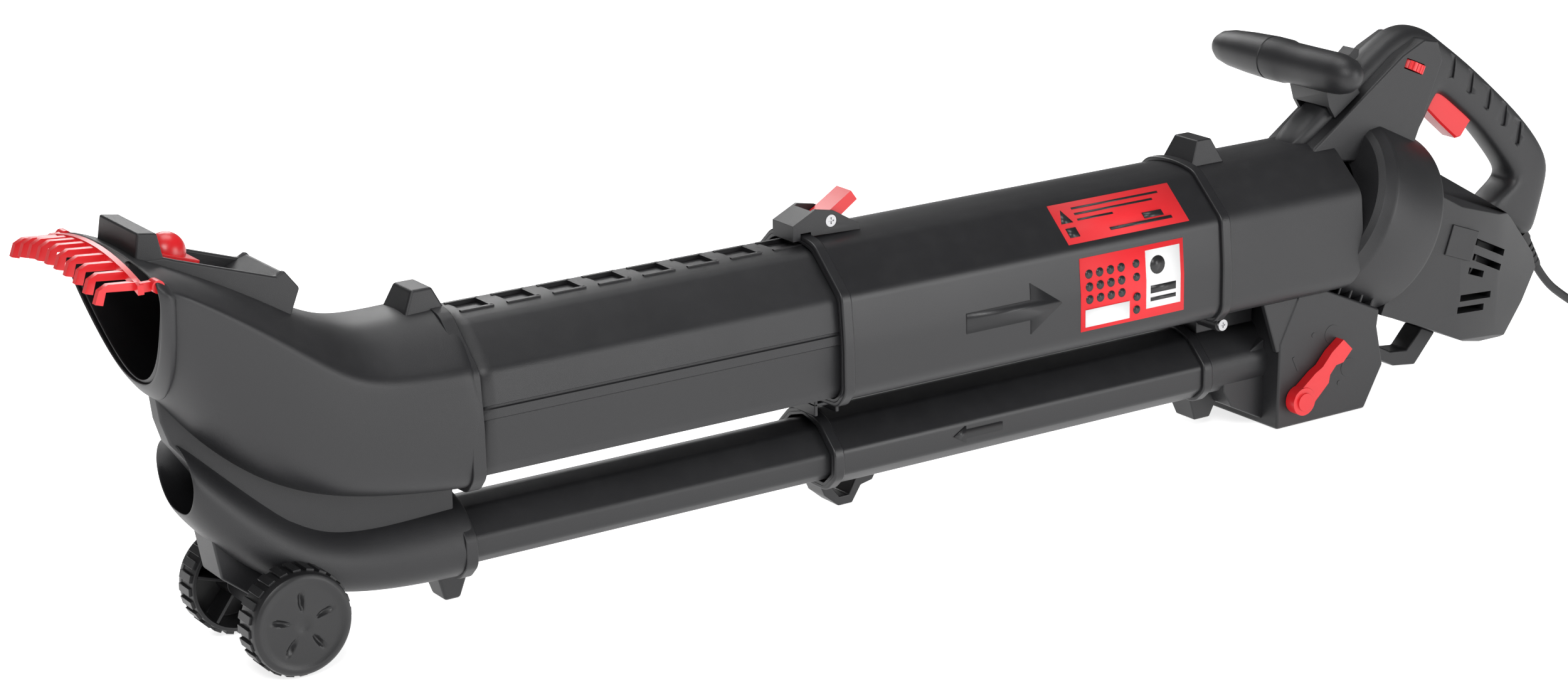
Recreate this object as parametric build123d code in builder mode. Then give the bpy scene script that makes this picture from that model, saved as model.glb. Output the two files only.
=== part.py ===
"""Corded leaf blower and vacuum with telescopic twin tubes and guide wheels.

Row frame in millimetres: the origin is the middle of the flat underside of the diverter box, on the
floor. +X runs from the nozzles back to the handle, +Z is up and the left side is -Y.
"""
from build123d import *
import os
from math import cos, radians, sin, tan

os.makedirs("parts", exist_ok=True)

# ---- driving dimensions -------------------------------------------------------------------------
WALL = 3.0                  # thickness of the outer mouldings
THIN_WALL = 2.2             # thickness of the inner tubes
HEAD_X = -740.0             # where the nozzle head meets the inner tubes
MID_X = -456.0              # front end of the outer suction tube
MID_LOW_X = -449.0          # front end of the outer blow tube
REAR_X = -104.0             # rear end of the outer tubes
INNER_END_X = -362.0        # rear end of the inner tubes, inside the outer ones
NOTCH_PITCH = 35.3          # pitch of the length stops along the inner suction tube
SLIDE_GAP = 1.5             # play between the inner and the outer tube

WHEEL_R = 36.5
AXLE_X, AXLE_Z = -874.0, WHEEL_R
WHEEL_IN, WHEEL_OUT = 36.5, 60.5
AXLE_R = 5.0
RUN_FIT = 0.05              # radial clearance of everything that turns on a shaft

BOX_HALF = 52.0             # half width of the diverter box
LEVER_X, LEVER_Z = -26.3, 21.8
LEVER_DEG = 41.0            # the lever's slope at rest

FAN_X, FAN_Z = 66.0, 145.7  # a point on the fan's axis
FAN_DEG = 25.8              # how far the fan's axis points down to the rear
DRUM_R = 75.0
SHAFT_R = 4.0

HANDLE_HALF = 17.0          # half width of the grip
CHEEK_HALF = 27.0           # half width of the bracket over the fan drum
RAIL_DEG = 33.1             # slope of the rail that carries the second handle
RAIL_X, RAIL_Z = -6.0, 215.0

CORD_D = 6.9

# ---- planes and outlines ------------------------------------------------------------------------
AXIAL = Vector(cos(radians(FAN_DEG)), 0, -sin(radians(FAN_DEG)))
FAN_PLANE = Plane(origin=(FAN_X, 0, FAN_Z), x_dir=(0, 1, 0), z_dir=AXIAL)
FAN_SIDE = Plane(origin=(FAN_X, 0, FAN_Z), x_dir=AXIAL, z_dir=(0, -1, 0))
FAN_AXIS = Axis((FAN_X, 0, FAN_Z), AXIAL)

SUCTION_HALF = [(0, 213), (26, 209.5), (59, 180), (62, 146), (62, 112), (53, 102), (0, 100)]
BLOW_HALF = [(0, 82), (18, 77), (37, 59), (37, 42), (26, 31.5), (0, 31.5)]


def mirrored(half):
    """Close a half outline that starts and ends on the middle line."""
    return half + [(-y, z) for y, z in reversed(half[1:-1])]


def side_plane(y):
    """The XZ plane at y, drawn as seen from the left; a positive extrusion goes towards -Y."""
    return Plane.XZ.offset(-y)


def tube(half, x0, x1, grow, wall):
    """A straight hollow tube of a half outline, from x0 to x1."""
    with BuildPart() as shell:
        with BuildSketch(Plane.YZ.offset(x0)) as outer:
            with BuildLine():
                Polyline(*mirrored(half), close=True)
            make_face()
            if grow:
                offset(amount=grow, kind=Kind.INTERSECTION, mode=Mode.REPLACE)
            offset(amount=-wall, kind=Kind.INTERSECTION, mode=Mode.SUBTRACT)
        extrude(amount=x1 - x0)
    return shell.part


def prism(points, y_low, y_high):
    """A side outline drawn in X and Z, extruded across from y_low to y_high."""
    with BuildPart() as body:
        with BuildSketch(side_plane(y_high)):
            with BuildLine():
                Polyline(*points, close=True)
            make_face()
        extrude(amount=y_high - y_low)
    return body.part


def duct(sections, wall=0.0, end=0.0):
    """A ruled duct through tilted sections; wall shrinks it and end runs it past both ends."""
    planes = []
    for low, high, widths in sections:
        low_point = Vector(low[0], 0, low[1])
        up = Vector(high[0], 0, high[1]) - low_point
        plane = Plane(origin=low_point, x_dir=(0, 1, 0), z_dir=Vector(0, 1, 0).cross(up))
        planes.append((plane, up.length, widths))
    planes[0] = (planes[0][0].offset(end), *planes[0][1:])
    planes[-1] = (planes[-1][0].offset(-end), *planes[-1][1:])
    with BuildPart() as body:
        for plane, height, widths in planes:
            half = [(w - wall, wall + t * (height - 2 * wall)) for w, t in widths]
            with BuildSketch(plane):
                with BuildLine():
                    Polyline(*half, *[(-y, z) for y, z in reversed(half)], close=True)
                make_face()
        loft(ruled=True)
    return body.part


def tab(x, z, length, width, height):
    """A tapered release tab; a negative height hangs it down."""
    down = height < 0
    with BuildPart() as block:
        with BuildSketch(Plane.XY.offset(z)):
            with Locations((x, 0)):
                Rectangle(length, width)
        extrude(amount=abs(height), taper=22, dir=(0, 0, -1 if down else 1))
    return block.part


def save(part, name):
    part.label = name
    export_step(part, f"parts/{name}.step")


# ---- outer tubes --------------------------------------------------------------------------------
# The suction tube carries a rim at each end, a plinth for the length lock and a bracket underneath
# that reaches the blow tube.
with BuildPart() as outer_suction_tube:
    add(tube(SUCTION_HALF, MID_X, REAR_X, 0, WALL))
    add(tube(SUCTION_HALF, MID_X, MID_X + 8, 3, 4))
    add(tube(SUCTION_HALF, REAR_X - 9, REAR_X, 3, 4))
    for x in (MID_X + 4, MID_X + 22):
        with Locations((x, 0, 92)):
            Box(3, 44, 17)
    with Locations((MID_X + 13, 0, 92)):
        Box(21, 44, 3)
    with Locations((MID_X + 19, 0, 204)):
        Box(14, 16, 24, mode=Mode.SUBTRACT)
save(outer_suction_tube.part, "outer_suction_tube")

with BuildPart() as outer_blow_tube:
    add(tube(BLOW_HALF, MID_LOW_X, REAR_X + 4, 0, WALL))
    add(tube(BLOW_HALF, MID_LOW_X, MID_LOW_X + 8, 3, 4))
    add(tube(BLOW_HALF, REAR_X - 5, REAR_X + 4, 3, 4))
    latch = [(MID_LOW_X + 4, 32), (MID_LOW_X + 10, 18), (MID_LOW_X + 22, 8), (MID_LOW_X + 34, 8),
             (MID_LOW_X + 42, 20), (MID_LOW_X + 52, 22), (MID_LOW_X + 58, 32)]
    add(prism(latch, -11, 11))
    with Locations((MID_LOW_X + 25, 0, 22)):
        Box(14, 30, 14, mode=Mode.SUBTRACT)
save(outer_blow_tube.part, "outer_blow_tube")

# ---- inner tubes --------------------------------------------------------------------------------
# The inner suction tube has a row of stop windows along its top and a groove down each side.
INNER_GROW = -(WALL + SLIDE_GAP)
STOPS = 10
with BuildPart() as inner_suction_tube:
    add(tube(SUCTION_HALF, HEAD_X, INNER_END_X, INNER_GROW, THIN_WALL))
    with Locations(*[(HEAD_X + 27 + NOTCH_PITCH * i, 0, 208.6) for i in range(STOPS)]):
        Box(25, 24, 3.4, mode=Mode.SUBTRACT)
    for side in (-1, 1):
        with Locations((0.5 * (HEAD_X + INNER_END_X), side * 57.7, 154)):
            Box(INNER_END_X - HEAD_X + 2, 1.4, 1.6, mode=Mode.SUBTRACT)
save(inner_suction_tube.part, "inner_suction_tube")

with BuildPart() as inner_blow_tube:
    add(tube(BLOW_HALF, HEAD_X + 4, INNER_END_X, INNER_GROW, THIN_WALL))
save(inner_blow_tube.part, "inner_blow_tube")

# ---- nozzle head --------------------------------------------------------------------------------
# Each section is the low and the high point of the duct in X and Z, then half widths and the share
# of the section's height that they stand at.
SUCTION_BEND = [
    ((-740, 101.5), (-740, 211.5), [(50, 0), (56, 0.10), (58, 0.40), (56, 0.70), (26, 1)]),
    ((-795, 104), (-788, 211), [(46, 0), (55, 0.12), (58, 0.40), (56, 0.70), (26, 1)]),
    ((-850, 114), (-815, 212), [(40, 0), (52, 0.15), (58, 0.42), (57, 0.72), (28, 1)]),
    ((-888, 133), (-845, 226), [(34, 0), (48, 0.18), (60, 0.46), (59, 0.75), (32, 1)]),
    ((-920, 163), (-890, 252), [(26, 0), (43, 0.20), (62, 0.50), (66, 0.78), (42, 1)]),
    ((-946, 203), (-966, 291), [(12, 0), (38, 0.20), (61, 0.50), (76, 0.85), (60, 1)]),
]
BLOW_BEND = [
    ((-736, 31.5), (-736, 81), [(25, 0), (35, 0.22), (36, 0.55), (30, 0.78), (17, 1)]),
    ((-800, 33), (-796, 76), [(25, 0), (34, 0.22), (35, 0.55), (30, 0.78), (17, 1)]),
    ((-856, 45), (-838, 78), [(24, 0), (33, 0.22), (34, 0.55), (29, 0.78), (17, 1)]),
    ((-896, 73), (-868, 97), [(22, 0), (31, 0.22), (32, 0.55), (28, 0.78), (17, 1)]),
    ((-928, 110), (-933, 156), [(14, 0), (25, 0.22), (29, 0.55), (26, 0.80), (14, 1)]),
]
RAKE_HALF = 74.0            # half length of the rake's bar across the mouth
CHANNEL_FLOOR = [(-905, 256), (-862, 234), (-852, 236), (-848, 250), (-858, 263), (-864, 260),
                 (-930, 282), (-938, 284)]

with BuildPart() as suction_nozzle:
    add(duct(SUCTION_BEND))
    add(tube(SUCTION_HALF, HEAD_X - 10, HEAD_X, 1.5, 5))
    add(tab(HEAD_X - 14, 207, 34, 34, 21))
    # The tray on top, with the stop block in front of the rake's release.
    for side in (-1, 1):
        add(prism([(-962, 284), *CHANNEL_FLOOR], 28 * side - 2, 28 * side + 2))
    add(prism([(-957, 282), (-954, 303), (-941, 301), (-938, 284), (-932, 270)], -28, 28))
    add(prism([(-872, 236), (-872, 258), (-858, 262), (-848, 250), (-852, 234)], -28, 28))
    add(duct(SUCTION_BEND, wall=WALL, end=4), mode=Mode.SUBTRACT)
    # Seats for the two ends of the rake.
    for side in (-1, 1):
        with Locations(Location((-962, side * (RAKE_HALF + 1.5), 281), (90, 0, 0))):
            Cylinder(4.2, 14, mode=Mode.SUBTRACT)
        with Locations((-964, side * (RAKE_HALF - 3.2), 279)):
            Box(26, 5.2, 18, mode=Mode.SUBTRACT)
    with Locations((-969, 0, 285)):
        Box(10, 2 * (RAKE_HALF + 1), 24, mode=Mode.SUBTRACT)
save(suction_nozzle.part, "suction_nozzle")

with BuildPart() as blow_nozzle:
    add(duct(BLOW_BEND))
    add(tube(BLOW_HALF, HEAD_X - 5, HEAD_X + 4, 1.5, 5))
    add(tab(HEAD_X - 2, 36, 26, 26, -28))
    # Web between the two ducts.
    web = [(-742, 76), (-742, 101), (-795, 103.5), (-850, 113.5), (-888, 132.5), (-920, 162.5),
           (-940, 190), (-942, 150), (-925, 140), (-896, 100), (-868, 92), (-838, 74), (-796, 72)]
    add(prism(web, -14, 14))
    # Bracket and sleeve that carry the axle.
    bracket = [(-913, 92), (-908, 62), (AXLE_X - 8, AXLE_Z + 2), (AXLE_X + 8, AXLE_Z + 2),
               (-852, 50), (-860, 70)]
    add(prism(bracket, -15, 15))
    with Locations(Location((AXLE_X, 0, AXLE_Z), (90, 0, 0))):
        Cylinder(10, 68)
    add(duct(BLOW_BEND, wall=WALL, end=4), mode=Mode.SUBTRACT)
    with Locations(Location((AXLE_X, 0, AXLE_Z), (90, 0, 0))):
        Cylinder(AXLE_R, 70, mode=Mode.SUBTRACT)
    add(suction_nozzle.part, mode=Mode.SUBTRACT)
    add(duct(SUCTION_BEND), mode=Mode.SUBTRACT)
save(blow_nozzle.part, "blow_nozzle")

# ---- axle and wheels ----------------------------------------------------------------------------
with BuildPart() as axle:
    with Locations(Location((AXLE_X, 0, AXLE_Z), (90, 0, 0))):
        Cylinder(AXLE_R, 2 * (WHEEL_OUT - 6))
    chamfer(axle.edges().filter_by(GeomType.CIRCLE), 0.8)
save(axle.part, "axle")

with BuildPart() as axle_rings:
    for side in (-1, 1):
        with Locations(Location((AXLE_X, side * 35.2, AXLE_Z), (90, 0, 0))):
            Cylinder(8, 1.6)
            Cylinder(AXLE_R, 1.6, mode=Mode.SUBTRACT)
save(axle_rings.part, "axle_rings")

TREADS = 20
SPOKES = 5
for side, name in ((-1, "wheel_left"), (1, "wheel_right")):
    with BuildPart() as wheel:
        # Half section: rim, closed and slightly dished outer face, hub with its bore.
        with BuildSketch(Plane(origin=(AXLE_X, 0, AXLE_Z), x_dir=(0, side, 0), z_dir=(side, 0, 0))):
            with BuildLine():
                Polyline((WHEEL_IN, WHEEL_R - 5), (WHEEL_IN, WHEEL_R - 2), (WHEEL_IN + 3, WHEEL_R),
                         (WHEEL_OUT - 5, WHEEL_R), (WHEEL_OUT, WHEEL_R - 5.5), (WHEEL_OUT, WHEEL_R - 9),
                         (WHEEL_OUT - 1.2, WHEEL_R - 12), (WHEEL_OUT, 5), (WHEEL_OUT, 0),
                         (WHEEL_OUT - 4, 0), (WHEEL_OUT - 4, AXLE_R + RUN_FIT),
                         (WHEEL_IN, AXLE_R + RUN_FIT), (WHEEL_IN, 9.5), (WHEEL_OUT - 4, 10.5),
                         (WHEEL_OUT - 4, WHEEL_R - 6), close=True)
            make_face()
        revolve(axis=Axis((AXLE_X, 0, AXLE_Z), (0, 1, 0)))
        hub = Plane(origin=(AXLE_X, side * WHEEL_IN, AXLE_Z), x_dir=(1, 0, 0), z_dir=(0, side, 0))
        with BuildSketch(hub.offset(3)):
            with PolarLocations(21.5, SPOKES):
                Rectangle(24, 2.4)
        extrude(amount=WHEEL_OUT - WHEEL_IN - 5)
        with BuildSketch(hub.offset(4)):
            with PolarLocations(WHEEL_R, TREADS):
                Rectangle(3.2, 3.4)
        extrude(amount=11, mode=Mode.SUBTRACT)
    save(wheel.part, name)

# ---- rake and its release -----------------------------------------------------------------------
RAKE_X, RAKE_Z = -962.0, 281.0
TINES = 10
TINE_PITCH = 15.0
with BuildPart() as rake:
    # Arched bar on two end pins.
    for side in (-1, 1):
        with Locations(Location((RAKE_X, side * (RAKE_HALF - 1), RAKE_Z), (90, 0, 0))):
            Cylinder(4.2 - RUN_FIT, 8.4)
    with BuildSketch(Plane.YZ.offset(RAKE_X - 12)):
        with BuildLine():
            ThreePointArc((-RAKE_HALF, RAKE_Z - 4), (0, RAKE_Z + 9), (RAKE_HALF, RAKE_Z - 4))
            Line((RAKE_HALF, RAKE_Z - 4), (RAKE_HALF, RAKE_Z + 2))
            ThreePointArc((RAKE_HALF, RAKE_Z + 2), (0, RAKE_Z + 13), (-RAKE_HALF, RAKE_Z + 2))
            Line((-RAKE_HALF, RAKE_Z + 2), (-RAKE_HALF, RAKE_Z - 4))
        make_face()
    extrude(amount=4)
    for side in (-1, 1):
        with Locations((RAKE_X - 4, side * (RAKE_HALF - 3), RAKE_Z)):
            Box(12, 4, 6)
    for i in range(TINES):
        y = (i - 0.5 * (TINES - 1)) * TINE_PITCH
        rise = 10.5 * (1 - (y / RAKE_HALF) ** 2)
        z = RAKE_Z - 1 + rise
        tine = [(-973, z - 2.5), (-973, z + 2.5), (-991, z + 4), (-997, z + 1), (-1000, z - 7),
                (-995, z - 8.5), (-992.5, z - 0.5)]
        add(prism(tine, y - 2.3, y + 2.3))
save(rake.part, "rake")

with BuildPart() as rake_release:
    with BuildSketch(Plane(origin=(-921, 0, 278), x_dir=(1, 0, 0), z_dir=(0.316, 0, 0.949))):
        Rectangle(30, 30)
    extrude(amount=2.4)
    with Locations((-924, 0, 281)):
        Sphere(12.5)
    with Locations(Location((-921, 0, 267), (0, 18.4, 0))):
        Box(60, 60, 24, mode=Mode.SUBTRACT)
save(rake_release.part, "rake_release")

# ---- length lock --------------------------------------------------------------------------------
LOCK_X, LOCK_Z = MID_X + 25.5, 222.0
LOCK_HALF = 13.0
with BuildPart() as lock_housing:
    profile = [(MID_X - 7, 211.5), (MID_X - 7, 223), (MID_X + 12, 232), (MID_X + 28, 229),
               (MID_X + 50, 216), (MID_X + 50, 212), (MID_X + 8.5, 213.5), (MID_X + 8, 216.5),
               (MID_X - 0.5, 216.5), (MID_X - 0.5, 211.5)]
    add(prism(profile, -LOCK_HALF, LOCK_HALF))
    with Locations((MID_X + 27, 0, 220)):
        Box(34, 20, 40, mode=Mode.SUBTRACT)
    with Locations(Location((LOCK_X, 0, LOCK_Z), (90, 0, 0))):
        Cylinder(2.0, 40, mode=Mode.SUBTRACT)
    with Locations(Location((LOCK_X, 0.5 - LOCK_HALF, LOCK_Z), (90, 0, 0))):
        Cylinder(4.6, 3, mode=Mode.SUBTRACT)
    add(outer_suction_tube.part, mode=Mode.SUBTRACT)
save(lock_housing.part, "lock_housing")

with BuildPart() as lock_screw:
    with Locations(Location((LOCK_X, 0.5, LOCK_Z), (90, 0, 0))):
        Cylinder(2.0, 2 * LOCK_HALF - 3)
    with Locations(Location((LOCK_X, 1.1 - LOCK_HALF, LOCK_Z), (90, 0, 0))):
        Cylinder(4.4, 1.8)
    for turn in (0, 90):
        with Locations(Location((LOCK_X, 0.4 - LOCK_HALF, LOCK_Z), (0, turn, 0))):
            Box(5, 1.4, 1.1, mode=Mode.SUBTRACT)
save(lock_screw.part, "lock_screw")

with BuildPart() as lock_lever:
    with Locations(Location((LOCK_X, 0, LOCK_Z), (90, 0, 0))):
        Cylinder(5.2, 18)
    arm = [(LOCK_X - 3, LOCK_Z + 4), (LOCK_X + 4, LOCK_Z - 3), (LOCK_X + 25, LOCK_Z + 11),
           (LOCK_X + 20, LOCK_Z + 18)]
    add(prism(arm, -9, 9))
    pawl = [(LOCK_X - 5, LOCK_Z + 2), (LOCK_X + 3, LOCK_Z - 3), (LOCK_X - 3, LOCK_Z - 12.8),
            (LOCK_X - 11, LOCK_Z - 12.8), (LOCK_X - 12, LOCK_Z - 8)]
    add(prism(pawl, -6, 6))
    with Locations(Location((LOCK_X, 0, LOCK_Z), (90, 0, 0))):
        Cylinder(2.0 + RUN_FIT, 20, mode=Mode.SUBTRACT)
save(lock_lever.part, "lock_lever")

# ---- fan housing --------------------------------------------------------------------------------
# One hollow moulding, split at the middle: the inlet duct, the fan drum, the diverter box under it
# and the neck for the blow tube.
BOX_SIDE = [(-45.5, 0), (45.5, 0), (64, 33), (57, 65), (59, 79), (3, 104), (-26, 104), (-44, 68)]
BOX_ROOM = [(-42.5, 3), (43.6, 3), (60.4, 33), (53.8, 65), (54, 72), (10, 90), (-24, 97), (-41, 67)]
DRUM_SIDE = [(-52, 0), (-52, 60), (-31, 69.7), (-22, DRUM_R), (33, DRUM_R), (33, 0)]
DRUM_ROOM = [(-60, 0), (-60, 54), (-49, 57), (-30, 66.5), (-20.5, DRUM_R - WALL), (34, DRUM_R - WALL),
             (34, 0)]

BOSS_X, BOSS_Z, BOSS_HALF = REAR_X + 11, 91, 40

with BuildPart() as inlet_duct:
    with BuildSketch(Plane.YZ.offset(REAR_X)):
        with BuildLine():
            Polyline(*mirrored(SUCTION_HALF), close=True)
        make_face()
    extrude(amount=170)
    split(bisect_by=FAN_PLANE.offset(-47), keep=Keep.BOTTOM)

with BuildPart() as fan_housing:
    add(inlet_duct.part)
    with BuildSketch(FAN_SIDE):
        with BuildLine():
            Polyline(*DRUM_SIDE, close=True)
        make_face()
    revolve(axis=FAN_AXIS)
    add(prism(BOX_SIDE, -BOX_HALF, BOX_HALF))
    # Neck of the blow outlet and its roof.
    with BuildSketch(Plane.YZ.offset(REAR_X + 4)):
        with BuildLine():
            Polyline(*mirrored(BLOW_HALF), close=True)
        make_face()
    extrude(amount=60)
    add(prism([(-84, 33), (-84, 48), (-45, 66), (-45, 30)], -34, 34))
    # Web between the neck and the duct, with the boss of the tube screw.
    with Locations((-72, 0, 91)):
        Box(54, 34, 22)
    with Locations(Location((BOSS_X, 0, BOSS_Z), (90, 0, 0))):
        Cylinder(5.6, 2 * BOSS_HALF)
    # Release tabs over and under the joints with the tubes.
    add(tab(REAR_X + 6, 216.6, 32, 34, 14))
    with Locations((REAR_X + 11, 0, 212)):
        Box(21, 32, 10)
    add(tab(REAR_X + 13, 28, 34, 28, -21))
    with Locations((REAR_X + 17, 0, 31)):
        Box(25, 26, 8)
    # Air space: duct, drum, box and neck.
    with BuildSketch(Plane.YZ.offset(REAR_X - 1)) as mouth:
        with BuildLine():
            Polyline(*mirrored(SUCTION_HALF), close=True)
        make_face()
        offset(amount=-WALL, kind=Kind.INTERSECTION, mode=Mode.REPLACE)
    extrude(amount=101, mode=Mode.SUBTRACT)
    with BuildSketch(FAN_SIDE):
        with BuildLine():
            Polyline(*DRUM_ROOM, close=True)
        make_face()
    revolve(axis=FAN_AXIS, mode=Mode.SUBTRACT)
    add(prism(BOX_ROOM, -BOX_HALF + WALL, BOX_HALF - WALL), mode=Mode.SUBTRACT)
    with BuildSketch(Plane.YZ.offset(REAR_X + 3)) as neck:
        with BuildLine():
            Polyline(*mirrored(BLOW_HALF), close=True)
        make_face()
        offset(amount=-WALL, kind=Kind.INTERSECTION, mode=Mode.REPLACE)
    extrude(amount=64, mode=Mode.SUBTRACT)
    # Bag outlet in the sloping rear wall, and the bag's guide slot across the front.
    with Locations((62, 0, 30)):
        Box(40, 76, 48, mode=Mode.SUBTRACT)
    # Bearings for the diverter shaft.
    with Locations(Location((LEVER_X, 0, LEVER_Z), (90, 0, 0))):
        Cylinder(4.0 + RUN_FIT, 2 * BOX_HALF + 4, mode=Mode.SUBTRACT)
with BuildPart() as fan_housing_left:
    add(fan_housing.part)
    split(bisect_by=Plane.XZ, keep=Keep.TOP)
save(fan_housing_left.part, "fan_housing_left")
with BuildPart() as fan_housing_right:
    add(fan_housing.part)
    split(bisect_by=Plane.XZ, keep=Keep.BOTTOM)
save(fan_housing_right.part, "fan_housing_right")

# ---- fan and motor ------------------------------------------------------------------------------
# Everything that turns is revolved about the fan's axis. Profiles are drawn as distance along the
# axis and radius.
def turned(points):
    """A solid of revolution about the fan's axis."""
    with BuildPart() as body:
        with BuildSketch(FAN_SIDE):
            with BuildLine():
                Polyline(*points, close=True)
            make_face()
        revolve(axis=FAN_AXIS)
    return body.part


def ring(s0, s1, r_in, r_out):
    """A plain ring about the fan's axis."""
    return turned([(s0, r_in), (s0, r_out), (s1, r_out), (s1, r_in)])


BLADES = 12
FAN_R = 64.0
with BuildPart() as impeller:
    add(ring(19, 22, SHAFT_R, FAN_R))
    add(ring(-6, 19, SHAFT_R, 13))
    with BuildSketch(FAN_PLANE.offset(-12)):
        with PolarLocations(0, BLADES):
            with BuildLine():
                face = ThreePointArc((12, 0), (40, -6), (FAN_R - 6, -22))
                back = ThreePointArc((12, 2.4), (41, -3.6), (FAN_R - 5, -20))
                Line(face @ 0, back @ 0)
                Line(face @ 1, back @ 1)
            make_face()
    extrude(amount=32)
save(impeller.part, "impeller")

with BuildPart() as fan_nut:
    with BuildSketch(FAN_PLANE.offset(-11)):
        RegularPolygon(7, 6)
        Circle(SHAFT_R, mode=Mode.SUBTRACT)
    extrude(amount=5)
save(fan_nut.part, "fan_nut")

with BuildPart() as motor_shaft:
    add(turned([(-15, 0), (-15, SHAFT_R - 0.6), (-14.4, SHAFT_R), (133, SHAFT_R), (133, 0)]))
save(motor_shaft.part, "motor_shaft")

POLES = 12
with BuildPart() as armature:
    add(ring(50, 98, SHAFT_R, 21.5))
    with BuildSketch(FAN_PLANE.offset(49)):
        with PolarLocations(20, POLES):
            Rectangle(5, 3.2)
    extrude(amount=50, mode=Mode.SUBTRACT)
save(armature.part, "armature")

with BuildPart() as windings:
    add(ring(41, 50, SHAFT_R, 18))
    add(ring(98, 105, SHAFT_R, 17))
save(windings.part, "windings")

with BuildPart() as commutator:
    add(ring(106, 120, SHAFT_R, 11))
    with BuildSketch(FAN_PLANE.offset(107)):
        with PolarLocations(11, 2 * POLES):
            Rectangle(2, 0.7)
    extrude(amount=14, mode=Mode.SUBTRACT)
save(commutator.part, "commutator")

with BuildPart() as stator:
    add(ring(48, 100, 22.2, 35))
    with BuildSketch(FAN_PLANE.offset(47)):
        with Locations((-38, 0), (38, 0)):
            Rectangle(12, 90)
    extrude(amount=54, mode=Mode.SUBTRACT)
save(stator.part, "stator")

with BuildPart() as front_bearing:
    add(ring(29, 36, SHAFT_R + RUN_FIT, 11))
save(front_bearing.part, "front_bearing")

with BuildPart() as rear_bearing:
    add(ring(124, 131, SHAFT_R + RUN_FIT, 9.5))
save(rear_bearing.part, "rear_bearing")

POST_R = 38.5
INNER_R = DRUM_R - WALL - 0.1
# The motor bracket closes the fan drum behind the impeller and carries the motor.
with BuildPart() as motor_bracket:
    add(ring(26, 29, 6, INNER_R))
    add(ring(29, 36, 11, 14))
    for turn in (45, 135, 225, 315):
        across, up = POST_R * cos(radians(turn)), POST_R * sin(radians(turn))
        with Locations(FAN_PLANE.location * Location((across, up, 58))):
            Cylinder(2.6, 58)
save(motor_bracket.part, "motor_bracket")

# The rear bracket stands on the field stack and holds the rear bearing.
with BuildPart() as rear_bracket:
    add(ring(100, 102, 24, 34.5))
    for turn in (45, 135, 225, 315):
        across, up = 29 * cos(radians(turn)), 29 * sin(radians(turn))
        with Locations(FAN_PLANE.location * Location((across, up, 112))):
            Cylinder(3, 22)
    add(ring(122, 124, 6, 34.5))
    add(ring(124, 131, 9.5, 13))
save(rear_bracket.part, "rear_bracket")

with BuildPart() as inlet_ring:
    add(turned([(-20, 44), (-25, 42), (-25, 40), (-17, 40), (-17, INNER_R), (-20, INNER_R)]))
save(inlet_ring.part, "inlet_ring")

with BuildPart() as brush_holders:
    for side in (-1, 1):
        with Locations(FAN_PLANE.location * Location((side * 20, 0, 113))):
            Box(14, 11, 11)
            Box(14.2, 6.4, 8.4, mode=Mode.SUBTRACT)
save(brush_holders.part, "brush_holders")

with BuildPart() as carbon_brushes:
    for side in (-1, 1):
        with Locations(FAN_PLANE.location * Location((side * 18.4, 0, 113))):
            Box(14, 6, 8)
save(carbon_brushes.part, "carbon_brushes")

# ---- motor housing ------------------------------------------------------------------------------
MOTOR_SIDE = [(120.2, 181.7), (174.6, 150.2), (212, 128.5), (220, 122), (258, 84), (264, 70), (243, 46),
              (214, 22.5), (190, 23), (161, 31.3), (110, 53.8), (67.3, 72.4)]
MOTOR_TOP = [(40, -46), (150, -46), (200, -37), (262, -18), (270, -14), (270, 14), (262, 18), (200, 37),
             (150, 46), (40, 46)]
MOTOR_SECTION = [(46, -38), (46, 34), (30, 58), (-30, 58), (-46, 34), (-46, -38), (-28, -110), (28, -110)]
VENTS = [(190, 104, 46, -24), (186, 93, 42, -24), (171.5, 87, 22, -22), (172, 67, 40, -7),
         (166, 58, 36, -7)]


def motor_block(shrink):
    """The motor housing's outer form, or its inner space when shrink is the wall."""
    with BuildPart() as block:
        with BuildSketch(side_plane(60)):
            with BuildLine():
                Polyline(*MOTOR_SIDE, close=True)
            make_face()
            if shrink:
                offset(amount=-shrink, kind=Kind.INTERSECTION, mode=Mode.REPLACE)
        extrude(amount=120)
        with BuildSketch(Plane.XY):
            with BuildLine():
                Polyline(*MOTOR_TOP, close=True)
            make_face()
            if shrink:
                offset(amount=-shrink, kind=Kind.INTERSECTION, mode=Mode.REPLACE)
        extrude(amount=250, mode=Mode.INTERSECT)
        with BuildSketch(FAN_PLANE.offset(-40)):
            with BuildLine():
                Polyline(*MOTOR_SECTION, close=True)
            make_face()
            if shrink:
                offset(amount=-shrink, kind=Kind.INTERSECTION, mode=Mode.REPLACE)
        extrude(amount=300, mode=Mode.INTERSECT)
    return block.part


MOTOR_BLOCK = motor_block(0)
with BuildPart() as motor_housing:
    add(MOTOR_BLOCK)
    add(motor_block(WALL), mode=Mode.SUBTRACT)
    for x, z, length, slope in VENTS:
        with BuildSketch(side_plane(60)):
            with Locations(Location((x, z), slope)):
                SlotOverall(length, 5.4)
        extrude(amount=120, mode=Mode.SUBTRACT)
    with Locations(FAN_PLANE.location * Location((0, 0, 32))):
        Cylinder(42, 20, mode=Mode.SUBTRACT)
for name, keep in (("motor_housing_left", Keep.TOP), ("motor_housing_right", Keep.BOTTOM)):
    with BuildPart() as half:
        add(motor_housing.part)
        split(bisect_by=Plane.XZ, keep=keep)
    save(half.part, name)

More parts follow.
